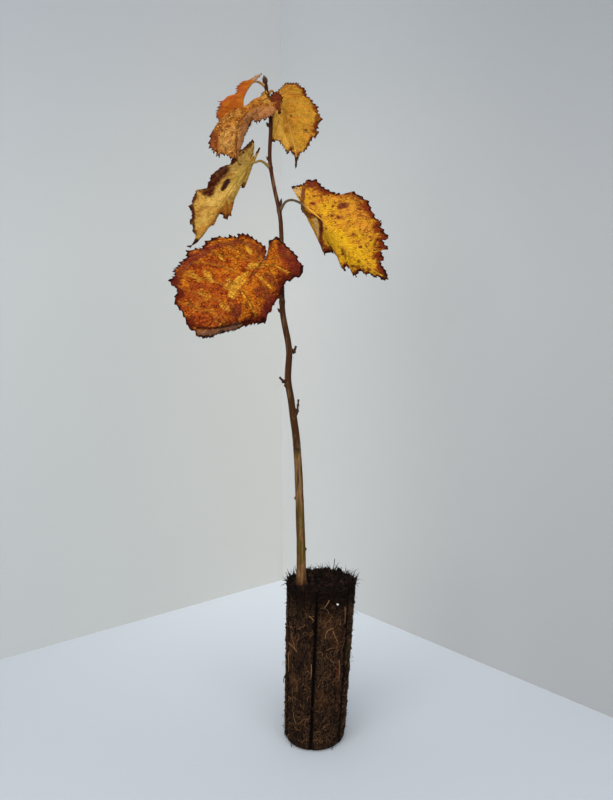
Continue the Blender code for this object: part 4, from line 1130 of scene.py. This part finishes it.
        rib=[(262.5, 262), (255, 271), (248, 280.5), (240, 290), (233, 299), (224, 311), (214, 322),
            (204, 331), (196, 335.5)],
        depths=[-20, -21, -23, -28, -34, -40, -46, -50, -50],
        left=dict(width=[1.0, 0.85, 0.75, 0.65, 0.5, 0.4], lobe=2.4, fold=[5, 0, -10, -20, -25, -30],
            curl=[-22, -40, -50, -50, -40, -20],
            rim=[(262.5, 262), (265, 258), (268, 252), (268.5, 246), (269.5, 241.5), (273, 240),
            (276, 237.5), (280, 240.5), (285, 244), (290, 249.5), (295, 256), (299, 262.5), (304, 265.5),
            (301.5, 268.5), (303, 272), (300, 275), (294, 276.5), (288, 279.5), (283, 285), (280, 291),
            (278, 298.5), (273, 303.5), (269, 310), (264, 317), (265.5, 320.5), (262, 322.5), (255, 321.5),
            (248, 324.5), (240, 326), (234, 329), (226, 331), (219, 333.5), (213, 336.5), (204, 337),
            (196, 335.5)]),
        right=dict(width=[1.05, 1.15, 1.2, 1.35, 1.5, 2.2], lobe=1.1, fold=[0],
            rim=[(262.5, 262), (264.5, 258.5), (266, 253), (265, 248), (261, 243), (256, 240), (250, 237),
            (244.5, 234), (239, 233.5), (237, 238), (231, 237), (224, 237.5), (217, 237), (212, 240.5),
            (205, 244), (201, 248.5), (195.5, 250.5), (190, 253.5), (186, 250.5), (187.5, 256),
            (185.5, 260), (181, 264), (177, 267.5), (174, 277), (170.3, 280.3), (174, 285.5), (177.5, 291),
            (176, 298.5), (177, 306), (182, 313), (186.5, 321), (190, 327.5), (195.5, 331.5),
            (196, 335.5)]),
        quilt=0.0010, wave=0.0012, seed=106, relief=0.0007, stalk=((76, 50, 28), (112, 52, 20)),
        colours=dict(Face=(208, 110, 18), Warm=(178, 77, 22), Pale=(255, 188, 58), Vein=(204, 126, 46),
            Margin=(96, 30, 10), Edge=(36, 10, 7), Blush=(112, 38, 28), Rose=(142, 98, 70)),
        values={"Vein Strength": 0.3, "Margin Reach": 0.0060, "Dots": 0.5, "Mosaic": 0.90, "Cells": 400.0,
            "Flank Shading": 0.22},
        blotches=dict(
            warm=[(14, 0.9, [(188, 300), (204, 316), (226, 319)]), (4, 0.7, [(192, 287), (214, 286)]),
                (5, 0.8, [(200, 247), (222, 243)]), (7, 0.8, [(285, 250), (290, 262)]),
                (5, 0.6, [(205, 262), (218, 266)])],
            pale=[(3, 1, [(259, 264.5), (251, 266)]), (1.8, 0.9, [(248, 272.5), (245, 274.5)]),
                (4.6, 1, [(241, 280), (234, 286), (233, 294)]), (2.2, 0.9, [(228, 280), (226, 288)]),
                (2.4, 0.9, [(206, 273), (212, 281)]), (2.2, 0.85, [(190, 273), (199, 280)]),
                (1.3, 0.9, [(219, 255), (222, 259)]), (2.2, 0.9, [(245, 243), (250, 252)]),
                (0.9, 0.9, [(256, 275), (263, 280), (271, 288)]),
                (0.9, 0.85, [(242, 293), (250, 305), (256, 317)]), (2.6, 0.5, [(221, 305), (227, 309)]),
                (3, 0.45, [(200, 292), (207, 298)]), (1.4, 0.6, [(211, 249), (215, 252)]),
                (0.8, 0.8, [(264, 264.5), (276, 266), (288, 272)]),
                (0.8, 0.6, [(227, 245), (236, 250), (246, 258)])],
            blush=[(4.4, 0.8, [(237, 308), (236, 313)]), (5.5, 0.65, [(260, 291), (268, 296)]),
                (4.5, 0.8, [(270, 301), (265, 311)]), (2.6, 0.6, [(297, 261), (301, 268)]),
                (4, 0.6, [(175, 276), (176, 285)]), (4, 0.75, [(210, 249), (193, 258), (181, 271)]),
                (6, 0.6, [(283, 251), (298, 268)]), (3, 0.6, [(266, 275), (273, 282), (279, 288)]),
                (2.4, 0.7, [(216, 246), (226, 244.5), (241, 242), (257, 247), (266, 257)])],
            dark=[(2, 0.9, [(302, 266.5), (301, 272)]), (2.2, 1, [(263, 320)]),
                (1.1, 0.8, [(197, 328), (215, 328), (232, 325), (252, 320)]),
                (0.7, 0.8, [(262, 263.5), (250, 278.5)]), (1.6, 0.6, [(171.5, 280.5)])],
            rose=[(3.2, 1, [(199, 333.5), (212, 333), (226, 329.5), (238, 325.5)])],
        ),
    ),
)


def marginOf(half, marks):
    # how far along and off the midrib the plain margin of a half is, at marks from 0, its sinus, to 1,
    # its tip
    margin = smoothPath(bladeRule["halfOutline"], 1201)
    even = np.linspace(0, 1, len(margin))
    reach, width = np.interp(marks, even, margin[:, 0]), np.interp(marks, even, margin[:, 1])
    reach = np.where(reach < 0, reach * half["lobe"], reach)
    return reach, width * stations(half["width"], np.clip(reach, 0, 1))


def rowMarks(leaf):
    # the marks of the rows of both halves: a fan of rows from the petiole, then rows whose feet climb the
    # midrib at even steps, so that a row of one half starts where the same row of the other does
    fine = np.linspace(0, 1, 3001)
    feet, fans = [], []
    for half in (leaf["left"], leaf["right"]):
        reach, width = marginOf(half, fine)
        foot = np.maximum.accumulate(np.clip(reach - width * bladeRule["veinSlant"], 0, 1))
        feet.append(foot)
        fans.append(np.searchsorted(foot, 1e-9) - 1)
    fanRows = int(bladeRule["rows"] * np.mean(fans) / len(fine))
    steps = np.linspace(0, 1, bladeRule["rows"] - fanRows + 1)[1:]
    return [np.concatenate([np.linspace(0, fine[fan], fanRows), np.interp(steps, foot[fan:], fine[fan:])])
            for foot, fan in zip(feet, fans)]


def teeth(turns):
    # one sharp tooth each turn: a hollow rise over seven tenths of it, then a quick fall
    part = turns % 1
    return np.where(part < 0.7, (part / 0.7) ** 2.0, ((1 - part) / 0.3) ** 1.4)


def alongEdge(line):
    # the share of an edge's length that lies before each of its points
    gone = np.concatenate([[0], np.cumsum(np.linalg.norm(np.diff(line, axis=0), axis=1))])
    return gone / gone[-1]


def halfSheet(half, side, marks, rib):
    # One half of the blade. A row is a side vein, from its foot on the midrib to the margin. It turns off
    # the leaf's face by its fold and by its curl times the share of the way out, so a point is the midrib
    # there plus the sums of the cosines and sines of that angle along and off the face. Then the margin
    # is drawn to the half's own rim, and its teeth stand out in the plane of the sheet.
    path, arc, along = rib
    length = arc[-1]
    reach, width = marginOf(half, marks)
    foot = np.maximum.accumulate(np.clip(reach - width * bladeRule["veinSlant"], 0, 1))
    share = np.linspace(0, 1, bladeRule["columns"] + 1)
    bow = bladeRule["veinBow"] * np.sin(np.pi * share) * width[:, None]
    x = foot[:, None] + (reach - foot)[:, None] * share - bow
    w = np.maximum(width[:, None], bladeRule["leastWidth"]) * share
    w[[0, -1]] = 0
    x[[0, -1]] = foot[[0, -1], None]
    inside = np.clip(x, 0, 1)
    angle = np.radians(stations(half["fold"], inside) + stations(half.get("curl", [0]), inside) * share)
    step = np.diff(w, axis=1) * length
    middle = (angle[:, 1:] + angle[:, :-1]) / 2
    none = np.zeros((len(marks), 1))
    sideways = np.concatenate([none, np.cumsum(np.cos(middle) * step, axis=1)], axis=1)
    offFace = np.concatenate([none, np.cumsum(np.sin(middle) * step, axis=1)], axis=1)
    onRib = inside * length
    place = np.stack([np.interp(onRib, arc, path[:, axis]) for axis in range(3)], axis=-1)
    ahead = unit(np.stack([np.interp(onRib, arc, along[:, axis]) for axis in range(3)], axis=-1))
    place = place + ahead * ((x - inside) * length)[..., None]
    facing = unit(bladeRule["facing"] - (ahead @ bladeRule["facing"])[..., None] * ahead)
    across = np.cross(facing, ahead) * side
    points = place + across * sideways[..., None] + facing * offFace[..., None]
    normal = facing * np.cos(angle)[..., None] - across * np.sin(angle)[..., None]
    if "rim" in half:
        plain = points[:, -1]
        gone, wanted = alongEdge(plain[:, [0, 2]]), alongEdge(np.array(half["rim"], float))
        rim = placesAt(half["rim"], np.interp(wanted, gone, plain[:, 1]))
        wanted = alongEdge(rim[:, [0, 2]])
        drawn = np.stack([np.interp(gone, wanted, rim[:, axis]) for axis in (0, 2)], axis=-1)
        points[..., [0, 2]] += (drawn - plain[:, [0, 2]])[:, None] * (share ** 1.5)[:, None]

    rimLine = points[:, -1]
    onward = np.gradient(rimLine, axis=0)
    outward = rimLine - points[:, -5]
    ways = onward, outward
    onward, outward = (sum(np.roll(way, turn, axis=0) for turn in (-2, -1, 0, 1, 2)) for way in ways)
    onward = unit(onward)
    outward = unit(outward - (outward * onward).sum(axis=-1, keepdims=True) * onward)
    fade = np.sqrt(np.sin(np.pi * (0.03 + 0.90 * marks)))
    turns = marks * bladeRule["veins"]
    tooth = teeth(turns) + bladeRule["smallTooth"] * teeth(turns * bladeRule["teethPerVein"] - 0.4) - 0.4
    tooth = tooth * fade * half.get("toothSize", bladeRule["toothSize"])
    shift = outward * tooth[:, None] + onward * 0.5 * np.maximum(tooth, 0)[:, None]
    shift[[0, -1]] = 0
    points = points + shift[:, None] * (share ** 10)[:, None]

    # how far apart the side veins are here: the sheet's speed along the marks, square to the row
    pace = np.gradient(points, axis=0) / np.gradient(marks)[:, None, None]
    rowWay = unit(points[:, -1] - points[:, 0])[:, None]
    pace = np.linalg.norm(pace - (pace * rowWay).sum(axis=-1, keepdims=True) * rowWay, axis=-1)
    run = np.linalg.norm(points[:, -1] - points[:, 0], axis=-1)[:, None]
    return dict(points=points, normal=normal, veinPhase=(turns - 0.7)[:, None] + 0 * w,
                veinGap=pace / bladeRule["veins"], across=share + 0 * w, outward=share * run,
                margin=(1 - share) * run)


def offLine(places, line):
    # how far each place is from a line of one or more points: from its nearest point on each leg, the least
    line = np.array(line + line[:1] if len(line) == 1 else line, float)
    least = np.inf
    for start, end in zip(line[:-1], line[1:]):
        leg = end - start
        share = np.clip(((places - start) @ leg) / max(leg @ leg, 1e-9), 0, 1)
        least = np.minimum(least, np.linalg.norm(places - start - share[..., None] * leg, axis=-1))
    return least


def buildLeaf(name, leaf):
    # both halves as one sheet from margin to midrib to margin, quilted and waved along its normals, then
    # given an upper and a lower skin that meet along the rim
    midrib = placesAt(leaf["rib"], stations(leaf["depths"], alongEdge(np.array(leaf["rib"], float))) / 1000)
    path = smoothPath(midrib, 240)
    arc = np.concatenate([[0], np.cumsum(np.linalg.norm(np.diff(path, axis=0), axis=1))])
    rib = path, arc, unit(np.gradient(path, arc, axis=0))
    marks = rowMarks(leaf)
    left = halfSheet(leaf["left"], 1, marks[0], rib)
    right = halfSheet(leaf["right"], -1, marks[1], rib)
    sheet = {key: np.concatenate([left[key][:, ::-1], right[key][:, 1:]], axis=1) for key in left}
    middle = bladeRule["columns"]
    normal = sheet.pop("normal")
    normal[:, middle] = left["normal"][:, 0] + right["normal"][:, 0]
    normal = unit(normal)
    points = sheet.pop("points")

    spread = np.minimum(sheet["veinGap"] / 0.005, 1) * ease(0.0, 0.14, sheet["across"])
    dome = np.abs(np.sin(np.pi * sheet["veinPhase"])) ** 0.7
    inLeaf = np.stack([sheet["veinPhase"] * 2.4, sheet["outward"] * 480, 0 * dome], axis=-1)
    lift = leaf["quilt"] * (dome - 0.45 + 0.7 * np.abs(cloud(inLeaf, 1.0, leaf["seed"]))) * spread
    lift += leaf["quilt"] * 0.4 * cloud(points, 0.0022, leaf["seed"] + 1) * spread
    # painted shade for the hollows: the lower the quilting leaves a point, the darker its colour
    sunk = np.clip(0.25 - lift / leaf["quilt"] * 0.9, 0, 1) * spread
    lift += leaf["wave"] * cloud(points, 0.011, leaf["seed"] + 2) * ease(0.1, 0.9, sheet["across"])
    points = points + normal * lift[..., None]

    thick = bladeRule["marginThickness"] + (bladeRule["thickness"] - bladeRule["marginThickness"]) * ease(
        0.0, 0.003, sheet["margin"])
    offVein = ((sheet["veinPhase"] + 0.5) % 1 - 0.5) * sheet["veinGap"]
    ridge = bladeRule["veinRidge"] * np.exp(-(offVein / 0.0003) ** 2)
    upper = points + normal * (thick / 2)[..., None]
    lower = points - normal * (thick / 2 + ridge * (1 - sheet["across"]))[..., None]
    skins = np.stack([upper, lower])
    rows, columns = points.shape[:2]
    index = np.arange(rows * columns).reshape(rows, columns)
    border = np.concatenate([index[0], index[1:, -1], index[-1, -2::-1], index[-2:0:-1, 0]])
    after = np.roll(border, -1)
    rim = np.stack([border, after, after + rows * columns, border + rows * columns], axis=1)
    faces = np.concatenate([gridFaces(rows, columns, copies=2), rim])

    masks = {mask: np.zeros(points.shape[:2]) for mask in ("warm", "pale", "blush", "green", "rose", "dark")}
    ragged = 0.6 * cloud(points, 0.0018, leaf["seed"] + 3) + 0.5 * cloud(points, 0.004, leaf["seed"] + 5)
    spots = spotsOf(points)
    pixel = (points[..., 1].mean() - view["place"][1]) / pixelsPerSlope * 1000
    for mask, blotches in leaf["blotches"].items():
        for halfWidth, strength, line in blotches:
            far = offLine(spots, line) / halfWidth + ragged * min(1 / (halfWidth * pixel), 0.6)
            masks[mask] = np.maximum(masks[mask], strength * ease(1.3, 0.75, far))
    masks.update(sheet, sunk=sunk)
    masks = {mask: np.stack([values, values]) for mask, values in masks.items()}
    masks["under"] = np.stack([np.zeros((rows, columns)), np.ones((rows, columns))])
    look = newMaterial(name + "Look", groups["blade"], {
        **{key: paint(*value) for key, value in leaf["colours"].items()}, **leaf["values"]},
        bump=leaf.get("relief", 0.0004), Specular_IOR_Level=0.05)
    makePiece(name + "Blade", skins, faces, look, leaf["slot"], [leaf["replaces"]], **masks)

    # the petiole leaves a swelling on the stem and runs on as the midrib
    height, turn = leaf["node"]
    out = np.array([math.cos(math.radians(turn)), math.sin(math.radians(turn)), 0])
    start = stemCentre(height) + out * stemRadius(height) * 0.75
    stalk = smoothPath([start, *leaf["petiole"], *midrib], 150)[:-2]
    share = np.linspace(0, 1, len(stalk))
    free = len(leaf["petiole"]) / (len(leaf["petiole"]) + len(midrib))
    radius = np.interp(share, [0, free, free + 0.12, 1], bladeRule["petioleRadii"])
    radius += 0.0004 * np.exp(-((share / 0.03) ** 2))
    radius = radius * (1 + 0.08 * cloud(stalk, 0.0016, leaf["seed"] + 4))
    points = tubePoints(stalk, radius, 10)
    first, second = leaf["stalk"]
    stalkLook = newMaterial(name + "StalkLook", groups["strand"], {
        "First": paint(*first), "Second": paint(*second), "Tip": paint(*bladeRule["stalkTip"])},
        bump=0.0001, Specular_IOR_Level=0.08)
    tone = np.concatenate([share[:1], share, share[-1:]])[:, None]
    makePiece(name + "Stalk", points, gridFaces(*points.shape[:2], closed=True), stalkLook, leaf["slot"],
              [leaf["replaces"]], tone=ease(free - 0.1, free + 0.01, tone), end=ease(0.9, 1.0, tone))


for leafName, leaf in leaves.items():
    buildLeaf(leafName, leaf)
    print("leaf made:", leafName)


studio = dict(
    # per panel its colour low down and high up, where the walls' darker high colour is painted shade, its
    # gain near the corner, which is painted light, and how far that reaches
    floor=(paint(184, 189, 195), paint(184, 189, 195), (1.38, 1.38, 1.38), 0.42),
    leftWall=(paint(185, 188, 187), paint(156, 160, 164), (1.17, 1.13, 1.08), 0.34),
    rightWall=(paint(165, 167, 168), paint(136, 140, 144), (1.52, 1.50, 1.45), 0.42),
    corner=(-0.035, 0.330), leftWay=(-0.772, -0.635), rightWay=(0.660, -0.751),
    wallHeight=2.2, wallLength=4.0, floorReach=6.0, shadeHeights=(0.30, 0.70), specular=0.1, roughness=0.85,
    lights=[  # place, aim, size, power, colour
        ((-0.6, -1.3, 1.1), (0, 0, 0.25), 1.6, 15, (1.0, 0.98, 0.95)),
        ((0.7, -1.2, 0.9), (0, 0, 0.2), 1.6, 9, (0.96, 0.98, 1.0)),
        ((0.0, -0.2, 1.5), (0, 0, 0.2), 1.0, 5, (1.0, 1.0, 1.0)),
    ],
    sky=(0.95, 0.97, 1.0), skyStrength=1.1,
)


def buildStage():
    # a floor and two walls that meet behind, plain but for painted light and shade in their colours; a wall
    # shows only its inner face
    x, y = studio["corner"]
    length, height = studio["wallLength"], studio["wallHeight"]
    reach = studio["floorReach"]
    panels = {"floor": [(-reach, -reach, 0), (reach, -reach, 0), (reach, reach, 0), (-reach, reach, 0)]}
    for name, way, turn in (("leftWall", "leftWay", -1), ("rightWall", "rightWay", 1)):
        far = x + studio[way][0] * length, y + studio[way][1] * length
        panel = [(x, y, 0), (*far, 0), (*far, height), (x, y, height)]
        panels[name] = panel[::turn]
    for name, corners in panels.items():
        mesh = bpy.data.meshes.new(name)
        mesh.from_pydata(corners, [], [(0, 1, 2, 3)])
        panel = bpy.data.objects.new(name, mesh)
        bpy.context.scene.collection.objects.link(panel)
        look = bpy.data.materials.new(name + "Look")
        look.use_nodes = True
        tree = look.node_tree
        shader = tree.nodes["Principled BSDF"]
        shader.inputs["Specular IOR Level"].default_value = studio["specular"]
        shader.inputs["Roughness"].default_value = studio["roughness"]
        low, high, paintedCornerLight, fade = studio[name]
        spot = place(tree, "TexCoord").outputs["Object"]
        up = place(tree, "SeparateXYZ", {0: spot}).outputs[2]
        # painted shade: each panel goes from its low colour to its high one going up, darker on the walls
        shade = blend(tree, rise(tree, up, *studio["shadeHeights"]), low, high)
        flat = place(tree, "VectorMath", {0: spot, 1: (1, 1, 0)}, operation="MULTIPLY").outputs[0]
        away = place(tree, "VectorMath", {0: flat, 1: (x, y, 0)}, operation="DISTANCE").outputs["Value"]
        # painted light: each panel is brightened towards the corner
        shade = blend(tree, rise(tree, away, 0.0, fade, 1.0, 0.0), shade, (*paintedCornerLight, 1), "MULTIPLY")
        tree.links.new(shade.socket, shader.inputs["Base Color"])
        if name != "floor":
            back = place(tree, "NewGeometry").outputs["Backfacing"]
            clear = place(tree, "BsdfTransparent").outputs[0]
            shown = place(tree, "MixShader", {0: back, 1: shader.outputs[0], 2: clear})
            tree.links.new(shown.outputs[0], tree.nodes["Material Output"].inputs["Surface"])
        mesh.materials.append(look)


def buildLights():
    for number, (where, aim, size, power, color) in enumerate(studio["lights"]):
        light = bpy.data.lights.new(f"softLight{number}", "AREA")
        light.size, light.energy, light.color = size, power, color
        lamp = bpy.data.objects.new(light.name, light)
        ahead = unit(np.array(aim) - where)
        side = unit(np.cross(ahead, [0, 0, 1.0]))
        up = np.cross(side, ahead)
        lamp.matrix_world = Matrix([(side[i], up[i], -ahead[i], where[i]) for i in range(3)] + [(0, 0, 0, 1)])
        bpy.context.scene.collection.objects.link(lamp)
    world = bpy.data.worlds.new("studioAir")
    world.use_nodes = True
    world.node_tree.nodes["Background"].inputs[0].default_value = (*studio["sky"], 1)
    world.node_tree.nodes["Background"].inputs[1].default_value = studio["skyStrength"]
    bpy.context.scene.world = world


def buildCamera():
    lens = bpy.data.cameras.new("viewCamera")
    lens.sensor_width, lens.lens = view["sensor"], view["lens"]
    camera = bpy.data.objects.new("viewCamera", lens)
    camera.location = view["place"]
    camera.rotation_euler = (math.pi / 2 - viewTilt, 0, 0)
    bpy.context.scene.collection.objects.link(camera)
    bpy.context.scene.camera = camera


buildStage()
buildLights()
buildCamera()
bpy.context.scene.view_settings.view_transform = "Standard"
print("stage made")
